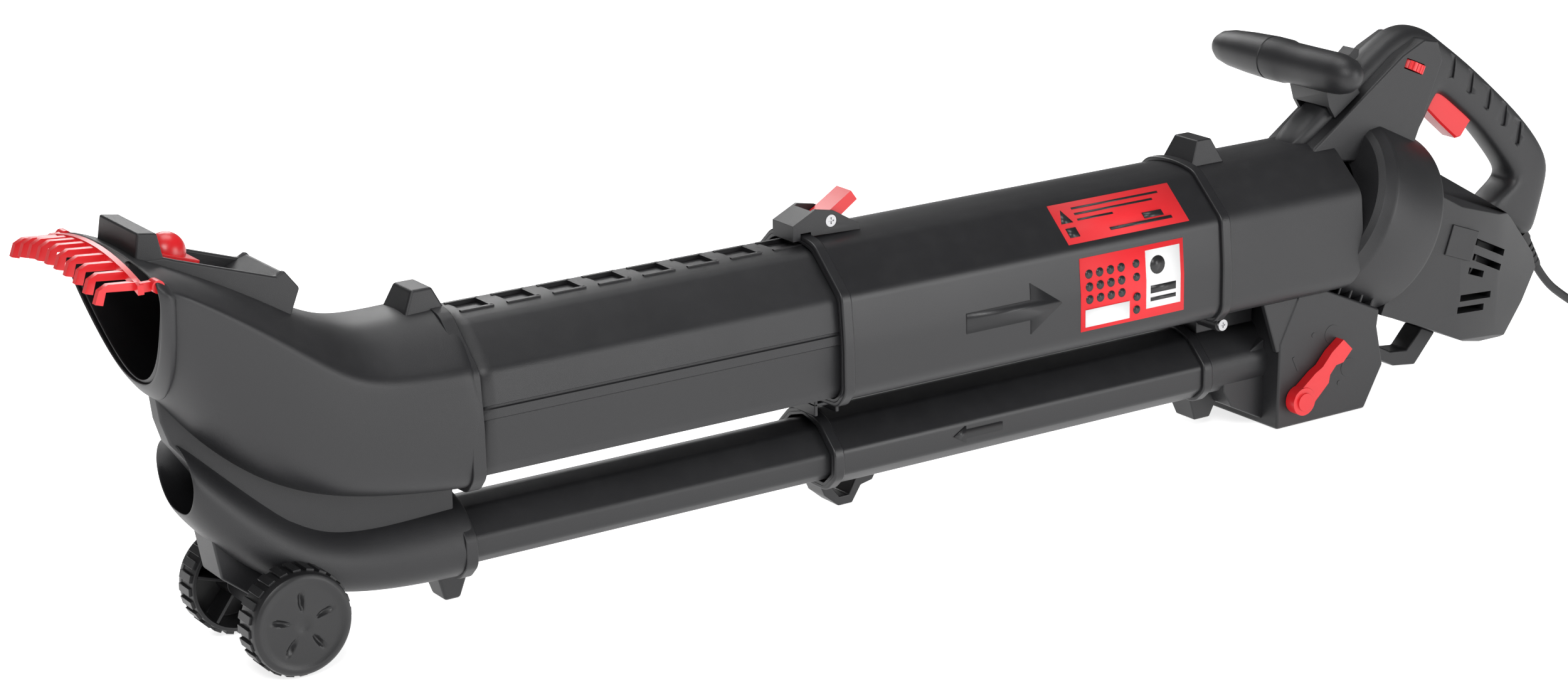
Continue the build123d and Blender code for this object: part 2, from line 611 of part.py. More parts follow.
# ---- handle -------------------------------------------------------------------------------------
HANDLE_SIDE = [(-6, 213.2), (RAIL_X, RAIL_Z), (76, 268.5), (99, 283.5), (112, 288), (126, 288.5), (140,
                                                                                                   284.6),
               (154, 273.7), (181, 255), (214, 227), (247, 200), (273, 172), (280, 157), (279.5, 150),
               (270, 108), (262, 93), (252, 91), (212, 129.5), (240.5, 146), (239, 154), (227.5, 165),
               (198, 197), (152, 231), (146, 226), (136, 203), (126, 180), (60, 200)]
CHEEK_SIDE = [(8, 205), (8, 209), (62, 246), (99, 271), (122, 281), (136, 278), (141, 262), (114, 203),
              (110, 190), (40, 195)]
SWITCH_ROOM = [(137, 234), (150, 243), (166, 254), (184, 249), (207, 229), (215, 207), (204, 191),
               (196, 195),
               (137, 216)]
GLAND_DIR = Vector(0.585, 0, -0.811)
GLAND_AT = Vector(259, 0, 97)
DIAL_AT = (115.5, -15.2, 259)
DIAL_R = 14.0
DRUM_BLOCK = turned(DRUM_SIDE)

with BuildPart() as handle:
    add(prism(HANDLE_SIDE, -HANDLE_HALF, HANDLE_HALF))
    grip_edges = handle.edges().filter_by(GeomType.LINE).filter_by(Axis.Y, reverse=True)
    chamfer([e for e in grip_edges if e.center().X > 100 and e.center().Z > 95], 3)
    add(prism(CHEEK_SIDE, -CHEEK_HALF, CHEEK_HALF))
    add(inlet_duct.part, mode=Mode.SUBTRACT)
    add(DRUM_BLOCK, mode=Mode.SUBTRACT)
    add(MOTOR_BLOCK, mode=Mode.SUBTRACT)
    # Room for the trigger, the switch, the dial and the board.
    add(prism(SWITCH_ROOM, -10, 10), mode=Mode.SUBTRACT)
    board_room = [(60, 232), (60, 240), (96, 262), (112, 270), (118, 262), (108, 225)]
    add(prism(board_room, -12, 23), mode=Mode.SUBTRACT)
    with Locations(Location(DIAL_AT, (0, FAN_DEG, 0))):
        Cylinder(DIAL_R + 0.8, 9, mode=Mode.SUBTRACT)
    with BuildSketch(Plane(origin=GLAND_AT - GLAND_DIR * 2, x_dir=(0, 1, 0), z_dir=GLAND_DIR)):
        Circle(8)
    extrude(amount=30, mode=Mode.SUBTRACT)
    # Grooves across the grip.
    for x, z in ((164, 258), (184, 243), (203, 228), (222, 212), (240, 196)):
        for side in (-1, 1):
            with Locations(Location((x, side * HANDLE_HALF, z), (0, -8, 0))):
                Box(5, 4, 18, mode=Mode.SUBTRACT)
for name, keep in (("handle_left", Keep.TOP), ("handle_right", Keep.BOTTOM)):
    with BuildPart() as half:
        add(handle.part)
        split(bisect_by=Plane.XZ, keep=keep)
    save(half.part, name)

TRIGGER_PIVOT = (147, 234)
with BuildPart() as trigger:
    body = [(144, 233), (141.5, 221), (159, 205), (177, 190), (183.2, 190.5), (191.7, 200.6), (196, 204),
            (154, 238)]
    add(prism(body, -8.5, 8.5))
    chamfer(trigger.edges().filter_by(Axis.Y, reverse=True), 1.5)
    with Locations(Location((TRIGGER_PIVOT[0], 0, TRIGGER_PIVOT[1]), (90, 0, 0))):
        Cylinder(3, 17)
save(trigger.part, "trigger")

with BuildPart() as power_switch:
    add(prism([(168, 250), (183, 246), (204, 228.5), (200, 222), (170, 243)], -8, 8))
save(power_switch.part, "power_switch")

with BuildPart() as speed_dial:
    with Locations(Location(DIAL_AT, (0, FAN_DEG, 0))):
        Cylinder(DIAL_R, 7)
    dial_axis = (sin(radians(FAN_DEG)), 0, cos(radians(FAN_DEG)))
    with BuildSketch(Plane(origin=DIAL_AT, x_dir=(0, 1, 0), z_dir=dial_axis).offset(-4)):
        with PolarLocations(DIAL_R, 24):
            Rectangle(1.4, 1.6)
    extrude(amount=8, mode=Mode.SUBTRACT)
save(speed_dial.part, "speed_dial")

with BuildPart() as control_board:
    with Locations(Location((90, 6, 246), (0, -34, 0))):
        Box(34, 28, 1.6)
        with Locations((6, 4, 4.3)):
            Cylinder(5, 7)
        with Locations((-9, -4, 3.8)):
            Box(9, 12, 6)
save(control_board.part, "control_board")

# ---- second handle ------------------------------------------------------------------------------
RAIL_DIR = (cos(radians(RAIL_DEG)), sin(radians(RAIL_DEG)))


def rail(a, n):
    """A point a along the rail and n above it, from the stem's place."""
    return (42 + RAIL_DIR[0] * a - RAIL_DIR[1] * n, 246.3 + RAIL_DIR[1] * a + RAIL_DIR[0] * n)


GRIP_X, GRIP_Z = rail(0.7, 24)
CLAMP_X, CLAMP_Z = rail(17, 7)
with BuildPart() as aux_bracket:
    saddle = [rail(-15, 0.6), rail(24, 0.6), rail(24, 6), rail(20, 11), rail(13, 14), rail(-11, 14)]
    add(prism(saddle, -21, 21))
    for side in (-1, 1):
        y0, y1 = sorted((side * (HANDLE_HALF + 0.4), side * (HANDLE_HALF + 4)))
        add(prism([rail(-15, -10), rail(15, -10), rail(15, 1), rail(-15, 1)], y0, y1))
    with Locations(Location((GRIP_X, 0, GRIP_Z), (90, 0, 0))):
        Cylinder(16.2, 60, mode=Mode.SUBTRACT)
    add(prism([rail(8, 2.5), rail(30, 2.5), rail(30, 20), rail(8, 20)], -8, 8), mode=Mode.SUBTRACT)
    with Locations(Location((CLAMP_X, 0, CLAMP_Z), (90, 0, 0))):
        Cylinder(1.5, 20)
save(aux_bracket.part, "aux_bracket")

GRIP_PLANE = Plane(origin=(GRIP_X, 0, GRIP_Z), x_dir=(0, 1, 0), z_dir=(-1, 0, 0))
with BuildPart() as aux_grip:
    with BuildSketch(GRIP_PLANE):
        with BuildLine():
            Polyline((-30, 6), (-30, 15.4), (0, 16), (25, 16), (26, 17), (44, 17.4), (45, 16.8), (46, 17.4),
                     (96, 17), (106, 14.5), (111, 9), (112, 0), (104, 0), (104, 6), close=True)
        make_face()
    revolve(axis=Axis((GRIP_X, 0, GRIP_Z), (0, 1, 0)))
save(aux_grip.part, "aux_grip")

with BuildPart() as aux_core:
    with Locations(Location((GRIP_X, 34, GRIP_Z), (90, 0, 0))):
        Cylinder(6, 140)
save(aux_core.part, "aux_core")

with BuildPart() as aux_end_cap:
    with BuildSketch(GRIP_PLANE):
        with BuildLine():
            Polyline((-30, 6), (-30, 16), (-40, 15), (-48, 9), (-52, 0), (-36, 0), (-36, 6), close=True)
        make_face()
    revolve(axis=Axis((GRIP_X, 0, GRIP_Z), (0, 1, 0)))
save(aux_end_cap.part, "aux_end_cap")

with BuildPart() as aux_clamp:
    with Locations(Location((CLAMP_X, 0, CLAMP_Z), (90, 0, 0))):
        Cylinder(4, 14)
    add(prism([rail(17, 3.2), rail(38, 5), rail(41, 9), rail(38, 13), rail(18, 10.8)], -6.5, 6.5))
    with Locations(Location((CLAMP_X, 0, CLAMP_Z), (90, 0, 0))):
        Cylinder(1.5 + RUN_FIT, 16, mode=Mode.SUBTRACT)
save(aux_clamp.part, "aux_clamp")

# ---- diverter -----------------------------------------------------------------------------------
with BuildPart() as diverter_shaft:
    with Locations(Location((LEVER_X, -1.5, LEVER_Z), (90, 0, 0))):
        Cylinder(4.0, 2 * BOX_HALF + 11)
save(diverter_shaft.part, "diverter_shaft")


def lever_point(r, off):
    """A point r along the lever from its shaft and off to its upper side."""
    c, s = cos(radians(LEVER_DEG)), sin(radians(LEVER_DEG))
    return (LEVER_X + c * r - s * off, LEVER_Z + s * r + c * off)


with BuildPart() as diverter_flap:
    blade = [lever_point(0, -1.5), lever_point(36, -1.5), lever_point(36, 1.5), lever_point(0, 1.5)]
    add(prism(blade, -47, 47))
    with Locations(Location((LEVER_X, 0, LEVER_Z), (90, 0, 0))):
        Cylinder(7, 94)
        Cylinder(4, 98, mode=Mode.SUBTRACT)
save(diverter_flap.part, "diverter_flap")

with BuildPart() as diverter_lever:
    outline = [lever_point(0, 9.5), lever_point(22, 8), lever_point(30, 6), lever_point(44, 7.5),
               lever_point(58, 6), lever_point(59, -7), lever_point(46, -8), lever_point(40, -4),
               lever_point(31, -5), lever_point(26, -9), lever_point(0, -9.5)]
    add(prism(outline, -BOX_HALF - 9, -BOX_HALF - 0.5))
    with Locations(Location((LEVER_X, -BOX_HALF - 5.25, LEVER_Z), (90, 0, 0))):
        Cylinder(11, 9.5)
    with Locations(Location((LEVER_X, -BOX_HALF - 10.5, LEVER_Z), (90, 0, 0))):
        Cylinder(7, 2)
    with Locations(Location((LEVER_X, -BOX_HALF - 3.5, LEVER_Z), (90, 0, 0))):
        Cylinder(4, 8, mode=Mode.SUBTRACT)
save(diverter_lever.part, "diverter_lever")

# ---- bag hook, screws, cord ---------------------------------------------------------------------
with BuildPart() as bag_hook:
    add(prism([(161, 32), (139, 8), (116, 11), (65, 37), (58, 64), (64, 62), (74, 44), (112, 24), (130, 22),
               (146, 39)], -10, 10))
    add(MOTOR_BLOCK, mode=Mode.SUBTRACT)
    add(prism(BOX_SIDE, -BOX_HALF, BOX_HALF), mode=Mode.SUBTRACT)
save(bag_hook.part, "bag_hook")


def screw_head(x, y, z, radius=3.6, height=1.8):
    """A cross-head screw's head that faces away from the middle plane."""
    side = 1 if y > 0 else -1
    with BuildPart() as head:
        with Locations(Location((x, y + side * height / 2, z), (90, 0, 0))):
            Cylinder(radius, height)
        for turn in (0, 90):
            with Locations(Location((x, y + side * height, z), (0, turn, 0))):
                Box(4.2, 1.6, 1.0, mode=Mode.SUBTRACT)
    return head.part


with BuildPart() as housing_screws:
    for x, z in ((-36, 14), (30, 12), (46, 66), (-30, 92)):
        add(screw_head(x, BOX_HALF, z))
    for x, z in ((120, 95), (140, 130)):
        add(screw_head(x, 46, z))
    for x, z in ((56, 234), (132, 236)):
        add(screw_head(x, CHEEK_HALF, z))
    for x, z in ((262, 140), (212, 214)):
        add(screw_head(x, HANDLE_HALF, z))
save(housing_screws.part, "housing_screws")

with BuildPart() as tube_screws:
    for side in (-1, 1):
        add(screw_head(BOSS_X, side * BOSS_HALF, BOSS_Z, 4.4, 2.2))
save(tube_screws.part, "tube_screws")

with BuildPart() as cord_gland:
    with BuildSketch(Plane(origin=GLAND_AT, x_dir=(0, 1, 0), z_dir=GLAND_DIR)) as root:
        Circle(8)
    extrude(amount=9)
    for i in range(5):
        start = GLAND_AT + GLAND_DIR * (9 + 6 * i)
        with BuildSketch(Plane(origin=start, x_dir=(0, 1, 0), z_dir=GLAND_DIR)):
            Circle(7.2 - 0.45 * i)
        extrude(amount=4)
        with BuildSketch(Plane(origin=start, x_dir=(0, 1, 0), z_dir=GLAND_DIR)):
            Circle(5.2)
        extrude(amount=6)
save(cord_gland.part, "cord_gland")

CORD_START = GLAND_AT + GLAND_DIR * 39
CORD_ROUTE = [
    CORD_START,
    CORD_START + GLAND_DIR * 20,
    Vector(316.5, 0, 32),
    Vector(345, -1, 14.5),
    Vector(379, -6, 5.2),
    Vector(412, -24, 3.7),
    Vector(429, -58, 3.7),
    Vector(422, -97, 3.7),
    Vector(394, -125, 5.5),
    Vector(361, -138, 9.5),
]
radii = []
for before, at, after in zip(CORD_ROUTE, CORD_ROUTE[1:], CORD_ROUTE[2:]):
    turn = radians((at - before).get_angle(after - at))
    radii.append(0.45 * min((at - before).length, (after - at).length) / tan(turn / 2))
print("cord radii", [round(r, 1) for r in radii])
with BuildPart() as power_cord:
    with BuildLine() as route:
        FilletPolyline(*CORD_ROUTE, radius=radii)
    with BuildSketch(Plane(origin=CORD_START, x_dir=(0, 1, 0), z_dir=GLAND_DIR)):
        Circle(CORD_D / 2)
    sweep()
print("cord length", round(route.wire().length, 1))
save(power_cord.part, "power_cord")

# Moulded two-pin plug, lying on the floor.
PLUG_DIR = (CORD_ROUTE[-1] - CORD_ROUTE[-2]).normalized()
PLUG_FLAT = Vector(PLUG_DIR.X, PLUG_DIR.Y, 0).normalized()
PLUG_ACROSS = Vector(0, 0, 1).cross(PLUG_FLAT)
PLUG_PLANE = Plane(origin=CORD_ROUTE[-1] - PLUG_FLAT * 4, x_dir=PLUG_ACROSS, z_dir=PLUG_FLAT)
with BuildPart() as plug:
    with BuildSketch(PLUG_PLANE):
        Circle(5)
    with BuildSketch(PLUG_PLANE.offset(18)):
        RectangleRounded(26, 17, 6)
    loft()
    with BuildSketch(PLUG_PLANE.offset(18)):
        RectangleRounded(35, 18.6, 8)
    extrude(amount=20)
    add(power_cord.part, mode=Mode.SUBTRACT)
save(plug.part, "plug")

with BuildPart() as plug_pins:
    with BuildSketch(PLUG_PLANE.offset(38)):
        with Locations((-9.5, 0), (9.5, 0)):
            Circle(2.4)
    extrude(amount=19)
save(plug_pins.part, "plug_pins")
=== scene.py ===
from math import cos, pi, radians, sin

import bmesh
import bpy
from mathutils import Matrix, Vector


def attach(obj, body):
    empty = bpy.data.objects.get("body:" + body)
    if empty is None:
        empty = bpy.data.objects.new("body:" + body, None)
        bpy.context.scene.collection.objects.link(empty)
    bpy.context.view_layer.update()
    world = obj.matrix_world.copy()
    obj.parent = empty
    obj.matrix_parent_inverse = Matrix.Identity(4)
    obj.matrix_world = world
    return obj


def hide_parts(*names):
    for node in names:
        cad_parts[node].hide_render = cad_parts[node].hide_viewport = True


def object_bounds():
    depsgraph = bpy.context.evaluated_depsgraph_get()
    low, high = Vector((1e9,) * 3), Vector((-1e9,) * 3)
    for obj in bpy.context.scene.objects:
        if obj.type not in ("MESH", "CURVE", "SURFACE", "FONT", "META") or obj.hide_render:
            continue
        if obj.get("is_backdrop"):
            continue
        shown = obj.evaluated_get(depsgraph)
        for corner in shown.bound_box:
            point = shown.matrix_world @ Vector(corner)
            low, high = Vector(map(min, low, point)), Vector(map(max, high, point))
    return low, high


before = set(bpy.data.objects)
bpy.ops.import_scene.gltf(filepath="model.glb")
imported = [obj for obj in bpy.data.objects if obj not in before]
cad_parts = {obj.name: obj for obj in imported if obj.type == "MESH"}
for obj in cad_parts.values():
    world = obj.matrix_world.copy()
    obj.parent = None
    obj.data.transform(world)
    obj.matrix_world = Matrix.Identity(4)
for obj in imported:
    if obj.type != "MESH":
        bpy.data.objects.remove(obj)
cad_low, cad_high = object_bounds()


# ---- camera, floor and light ---------------------------------------------------------------------
# The machine is seen from its left front, a little from above, on a plain pale floor between a
# large soft lamp on the left and a weaker one on the right.
def at(x, y, z):
    """A point of the machine from its millimetres."""
    return Vector((x, y, z)) * 0.001


TURN, LIFT, ROLL = radians(-33.09), radians(16.92), radians(-1.263)
SIGHT, DISTANCE = at(-464, 0, 133), 2.4
across = Vector((cos(TURN), sin(TURN), 0))
back = Vector((sin(TURN) * cos(LIFT), -cos(TURN) * cos(LIFT), sin(LIFT)))
upright = back.cross(across)
tilted_across = across * cos(ROLL) + upright * sin(ROLL)
tilted_upright = upright * cos(ROLL) - across * sin(ROLL)
camera = bpy.data.objects.new("camera", bpy.data.cameras.new("camera"))
bpy.context.scene.collection.objects.link(camera)
camera.matrix_world = Matrix.Translation(SIGHT + back * DISTANCE) @ Matrix(
    (tilted_across, tilted_upright, back)).transposed().to_4x4()
camera.data.sensor_width = 36
camera.data.lens = 77.73
bpy.context.scene.camera = camera
bpy.context.scene.view_settings.view_transform = "Standard"


class Field:
    """A shader value. Python arithmetic on it adds Math nodes."""

    def __init__(self, surface, socket):
        self.surface = surface
        self.socket = socket

    def maths(self, operation, *values):
        return self.surface.node("ShaderNodeMath", {"operation": operation}, *values)

    def __add__(self, other):
        return self.maths("ADD", self, other)

    def __sub__(self, other):
        return self.maths("SUBTRACT", self, other)

    def __rsub__(self, other):
        return self.maths("SUBTRACT", other, self)

    def __mul__(self, other):
        return self.maths("MULTIPLY", self, other)

    __radd__ = __add__
    __rmul__ = __mul__

    def above(self, edge, soft):
        """0 below the edge and 1 above it, over a soft step."""
        return self.surface.node(
            "ShaderNodeMath", {"operation": "DIVIDE", "use_clamp": True}, self - edge, soft)


class Surface:
    """A material whose nodes are added one by one and whose finish sits on its shader."""

    def __init__(self, name, color, roughness, **finish):
        self.material = bpy.data.materials.new(name)
        self.material.use_nodes = True
        self.tree = self.material.node_tree
        self.shader = self.tree.nodes["Principled BSDF"]
        self.shader.inputs["Base Color"].default_value = (*color, 1)
        self.shader.inputs["Roughness"].default_value = roughness
        for socket, value in finish.items():
            self.shader.inputs[socket.replace("_", " ")].default_value = value

    def plug(self, socket, value):
        if isinstance(value, Field):
            self.tree.links.new(value.socket, socket)
        else:
            socket.default_value = value

    def node(self, kind, settings, *values, out=0, **named):
        made = self.tree.nodes.new(kind)
        for key, value in settings.items():
            setattr(made, key, value)
        for key, value in enumerate(values):
            self.plug(made.inputs[key], value)
        for key, value in named.items():
            self.plug(made.inputs[key], value)
        return Field(self, made.outputs[out])

    def mix(self, amount, low, high):
        made = self.tree.nodes.new("ShaderNodeMix")
        made.data_type = "RGBA"
        for key, value in ((0, amount), (6, low), (7, high)):
            self.plug(made.inputs[key], value if isinstance(value, (Field, float)) else (*value, 1))
        return Field(self, made.outputs[2])

    def place(self):
        return self.node("ShaderNodeTexCoord", {}, out="Object")

    def noise(self, scale, detail):
        return self.node("ShaderNodeTexNoise", {}, Vector=self.place(), Scale=scale, Detail=detail)

    def feed(self, **sockets):
        for socket, value in sockets.items():
            self.plug(self.shader.inputs[socket.replace("_", " ")], value)

    def rough_up(self, height, strength, distance):
        self.feed(Normal=self.node("ShaderNodeBump", {}, Strength=strength, Distance=distance,
                                   Height=height))


def moulded(name, color, roughness, grain=0.25, **finish):
    """Moulded plastic: spark-eroded grain, slow drift in gloss and a little dust on upper faces."""
    surface = Surface(name, color, roughness, **finish)
    fine = surface.noise(2100.0, 3.0)
    drift = surface.noise(11.0, 4.0)
    normal = surface.node("ShaderNodeNewGeometry", {}, out="Normal")
    facing = surface.node("ShaderNodeSeparateXYZ", {}, normal, out="Z")
    dust = facing.above(0.25, 0.75) * surface.noise(70.0, 6.0).above(0.42, 0.3) * 0.10
    plain = surface.mix(drift, [c * 0.88 for c in color], [c * 1.12 for c in color])
    dusty = [0.9 * c + 0.05 for c in color]
    surface.feed(Base_Color=surface.mix(dust, plain, dusty),
                 Roughness=roughness + (drift - 0.5) * 0.16 + (fine - 0.5) * 0.10)
    surface.rough_up(fine, grain, 0.0004)
    return surface.material


floor_surface = Surface("pale floor", (0.93, 0.93, 0.93), 0.8, Emission_Color=(1, 1, 1, 1),
                        Emission_Strength=0.75).material
bm = bmesh.new()
bmesh.ops.create_grid(bm, x_segments=1, y_segments=1, size=14)
floor_mesh = bpy.data.meshes.new("floor")
bm.to_mesh(floor_mesh)
bm.free()
floor_mesh.materials.append(floor_surface)
floor = bpy.data.objects.new("floor", floor_mesh)
bpy.context.scene.collection.objects.link(floor)
floor.location.z = -0.0005
floor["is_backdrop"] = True

for lamp_name, place, size, power in (
        ("key", (-2.2, -2.4, 2.6), 1.5, 72), ("fill", (1.1, -2.7, 0.8), 1.5, 38),
        ("top", (-0.3, 0.6, 3.0), 1.8, 40), ("rim", (0.4, 3.0, 1.8), 1.4, 34)):
    lamp = bpy.data.lights.new(lamp_name, "AREA")
    lamp.size, lamp.energy = size, power
    stand = bpy.data.objects.new(lamp_name, lamp)
    bpy.context.scene.collection.objects.link(stand)
    stand.location = place
    stand.rotation_euler = (SIGHT - Vector(place)).to_track_quat("-Z", "Y").to_euler()
    stand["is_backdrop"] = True
sky = bpy.data.worlds.new("studio")
sky.use_nodes = True
sky.node_tree.nodes["Background"].inputs["Color"].default_value = (1, 1, 1, 1)
sky.node_tree.nodes["Background"].inputs["Strength"].default_value = 0.14
bpy.context.scene.world = sky

# ---- mains lead ----------------------------------------------------------------------------------
# A short round rubber lead with a moulded plug. It leaves the handle's foot through a ribbed sleeve,
# runs down to the floor and turns back beside the machine.
LEAD_ACROSS, LEAD_LENGTH = 0.0069, 0.303
GLAND_FROM, GLAND_WAY, GLAND_LENGTH = at(259, 0, 97), Vector((0.585, 0, -0.811)), 0.039
lead_points = [GLAND_FROM + GLAND_WAY * GLAND_LENGTH, GLAND_FROM + GLAND_WAY * 0.059,
               at(316.5, 0, 32), at(345, -1, 14.5), at(379, -6, 5.2), at(412, -24, 3.7),
               at(429, -58, 3.7), at(422, -97, 3.7), at(394, -125, 5.5), at(361, -138, 9.5)]
rubber = moulded("black rubber", (0.010, 0.010, 0.011), 0.5, 0.12)
lead_curve = bpy.data.curves.new("mains_lead", "CURVE")
lead_curve.dimensions = "3D"
lead_curve.bevel_depth = LEAD_ACROSS / 2
lead_curve.bevel_resolution = 5
lead_curve.use_fill_caps = True
line = lead_curve.splines.new("NURBS")
line.points.add(len(lead_points) - 1)
for knot, place in zip(line.points, lead_points):
    knot.co = (*place, 1)
line.order_u = 3
line.use_endpoint_u = True
line.resolution_u = 16
lead_curve.materials.append(rubber)
mains_lead = bpy.data.objects.new("mains_lead", lead_curve)
bpy.context.scene.collection.objects.link(mains_lead)
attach(mains_lead, "machine")
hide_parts("power_cord")


# ---- telescopic tubes ----------------------------------------------------------------------------
# Two blow-moulded outer tubes and the two thinner tubes that slide in them. Each is one wall thick
# with rounded corners, and the outer ones have a rim at both ends.
def piece(bm, name, body, surface, replaces=(), wall=0, soft=0, smooth=0, sharp=35):
    """Turns a bmesh into a finished piece that rides on a body of the machine."""
    bmesh.ops.remove_doubles(bm, verts=bm.verts[:], dist=0.00001)
    bmesh.ops.recalc_face_normals(bm, faces=bm.faces[:])
    mesh = bpy.data.meshes.new(name)
    bm.to_mesh(mesh)
    bm.free()
    for face in mesh.polygons:
        face.use_smooth = True
    if not smooth:
        mesh.set_sharp_from_angle(angle=radians(sharp))
    mesh.materials.append(surface)
    made = bpy.data.objects.new(name, mesh)
    bpy.context.scene.collection.objects.link(made)
    if wall:
        shell = made.modifiers.new("wall", "SOLIDIFY")
        shell.thickness = wall * 0.001
        shell.offset = -1
        shell.use_even_offset = True
    if smooth:
        round_off = made.modifiers.new("round", "SUBSURF")
        round_off.levels = round_off.render_levels = smooth
    if soft:
        edge = made.modifiers.new("soft edges", "BEVEL")
        edge.width = soft * 0.001
        edge.segments = 3
        edge.limit_method = "ANGLE"
        edge.angle_limit = radians(33)
        edge.harden_normals = True
    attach(made, body)
    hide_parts(*replaces)
    return made


SUCTION_HALF = [(0, 213), (13, 212.2), (26, 209.5), (59, 180), (62, 146), (62, 112), (53, 102),
                (0, 100)]
BLOW_HALF = [(0, 82), (18, 77), (37, 59), (37, 42), (26, 31.5), (0, 31.5)]


def both_sides(half):
    return half + [(-y, z) for y, z in reversed(half[1:-1])]


def grown(ring, by):
    """The outline moved outwards all round by a distance, with mitred corners."""
    moved = []
    for i, here in enumerate(ring):
        before, after = Vector(ring[i - 1]), Vector(ring[(i + 1) % len(ring)])
        first, second = (Vector(here) - before).normalized(), (after - Vector(here)).normalized()
        out_first, out_second = Vector((-first.y, first.x)), Vector((-second.y, second.x))
        mitre = (out_first + out_second).normalized()
        moved.append(tuple(Vector(here) + mitre * (by / mitre.dot(out_first))))
    return moved


def stretched(bm, ring, stations, corner):
    """A rounded outline in Y and Z, drawn out along X through the stations."""
    spots = [bm.verts.new(at(stations[0], y, z)) for y, z in ring]
    bm.faces.new(spots)
    if corner:
        bmesh.ops.bevel(bm, geom=spots, offset=corner * 0.001, offset_type="OFFSET", segments=4, profile=0.5,
                        affect="VERTICES", material=-1, clamp_overlap=True)
    cap = max((f for f in bm.faces if abs(f.calc_center_median().x - stations[0] * 0.001) < 1e-6),
              key=lambda f: f.calc_area())
    caps = [cap]
    for before, after in zip(stations, stations[1:]):
        drawn = bmesh.ops.extrude_face_region(bm, geom=[caps[-1]])
        caps.append(next(g for g in drawn["geom"] if isinstance(g, bmesh.types.BMFace)))
        bmesh.ops.translate(bm, verts=caps[-1].verts[:], vec=at(after - before, 0, 0))
    bmesh.ops.delete(bm, geom=caps, context="FACES_ONLY")


def sleeve(name, half, start, end, body, surface, grow=0, wall=3, corner=4.5, replaces=(), soft=0.8):
    bm = bmesh.new()
    stretched(bm, grown(both_sides(half), grow) if grow else both_sides(half), [start, end], corner)
    return piece(bm, name, body, surface, replaces, wall=wall, soft=soft)


def plate(bm, points, low, high):
    """A side outline in X and Z, as thick as from low to high across the machine."""
    face = bm.faces.new([bm.verts.new(at(x, low, z)) for x, z in points])
    drawn = bmesh.ops.extrude_face_region(bm, geom=[face])
    bmesh.ops.translate(bm, verts=[g for g in drawn["geom"] if isinstance(g, bmesh.types.BMVert)],
                        vec=at(0, high - low, 0))


def block(bm, center, size, turn=0.0):
    """A box, turned about the cross axis."""
    place = Matrix.Translation(at(*center)) @ Matrix.Rotation(turn, 4, "Y") @ Matrix.Diagonal((*at(*size), 1))
    return bmesh.ops.create_cube(bm, size=1, matrix=place)["verts"]


tube_plastic = moulded("satin black tube plastic", (0.013, 0.013, 0.0145), 0.36, 0.16)
black_plastic = moulded("black grained plastic", (0.014, 0.014, 0.0155), 0.44, 0.3)

SUCTION_FRONT, SUCTION_REAR, BLOW_FRONT, BLOW_REAR = -456, -104, -449, -100
RIM_LENGTH, RIM_PROUD = 9, 3
for tube, half, front, rear, corner in (
        ("suction", SUCTION_HALF, SUCTION_FRONT, SUCTION_REAR, 4.5),
        ("blow", BLOW_HALF, BLOW_FRONT, BLOW_REAR, 2.5)):
    sleeve(tube + "_tube_outer", half, front, rear, "machine", tube_plastic,
           corner=corner, replaces=["outer_" + tube + "_tube"])
    for end, start in (("front", front), ("rear", rear - RIM_LENGTH)):
        sleeve(f"{tube}_rim_{end}", half, start, start + RIM_LENGTH, "machine",
               tube_plastic, grow=RIM_PROUD, wall=4, soft=1.5)

# An H-shaped bracket ties the two front collars together, and a hooked latch hangs under the lower.
bm = bmesh.new()
for x in (-452, -434):
    block(bm, (x, 0, 92), (3, 44, 17))
block(bm, (-443, 0, 92), (21, 44, 3))
LATCH = [(-445, 32), (-439, 18), (-427, 8), (-415, 8), (-407, 20), (-397, 22), (-391, 32),
         (-400, 32), (-404, 27), (-412, 26), (-418, 15), (-426, 15), (-433, 24), (-436, 32)]
plate(bm, LATCH, -11, 11)
piece(bm, "collar_bracket", "machine", tube_plastic, soft=1.0)


def on_tube(name, outlines, profile, proud, surface):
    """Flat shapes in X and Z laid on the left side of a tube and standing proud of its outline."""
    bm = bmesh.new()
    for outline in outlines:
        bm.faces.new([bm.verts.new(at(x, 0, z)) for x, z in outline])
    for _, z in profile:
        bmesh.ops.bisect_plane(bm, geom=bm.verts[:] + bm.edges[:] + bm.faces[:], plane_co=at(0, 0, z),
                               plane_no=(0, 0, 1))
    for vert in bm.verts:
        z = vert.co.z * 1000
        for (y0, z0), (y1, z1) in zip(profile, profile[1:]):
            if z1 - 0.01 <= z <= z0 + 0.01:
                vert.co.y = -(y0 + (y1 - y0) * (z0 - z) / (z0 - z1) + proud) * 0.001
    return piece(bm, name, "machine", surface, wall=proud)


def panel(x0, z0, x1, z1):
    return [(x0, z0), (x1, z0), (x1, z1), (x0, z1)]


def spot(x, z, radius):
    return [(x + radius * cos(pi * i / 9), z + radius * sin(pi * i / 9)) for i in range(18)]


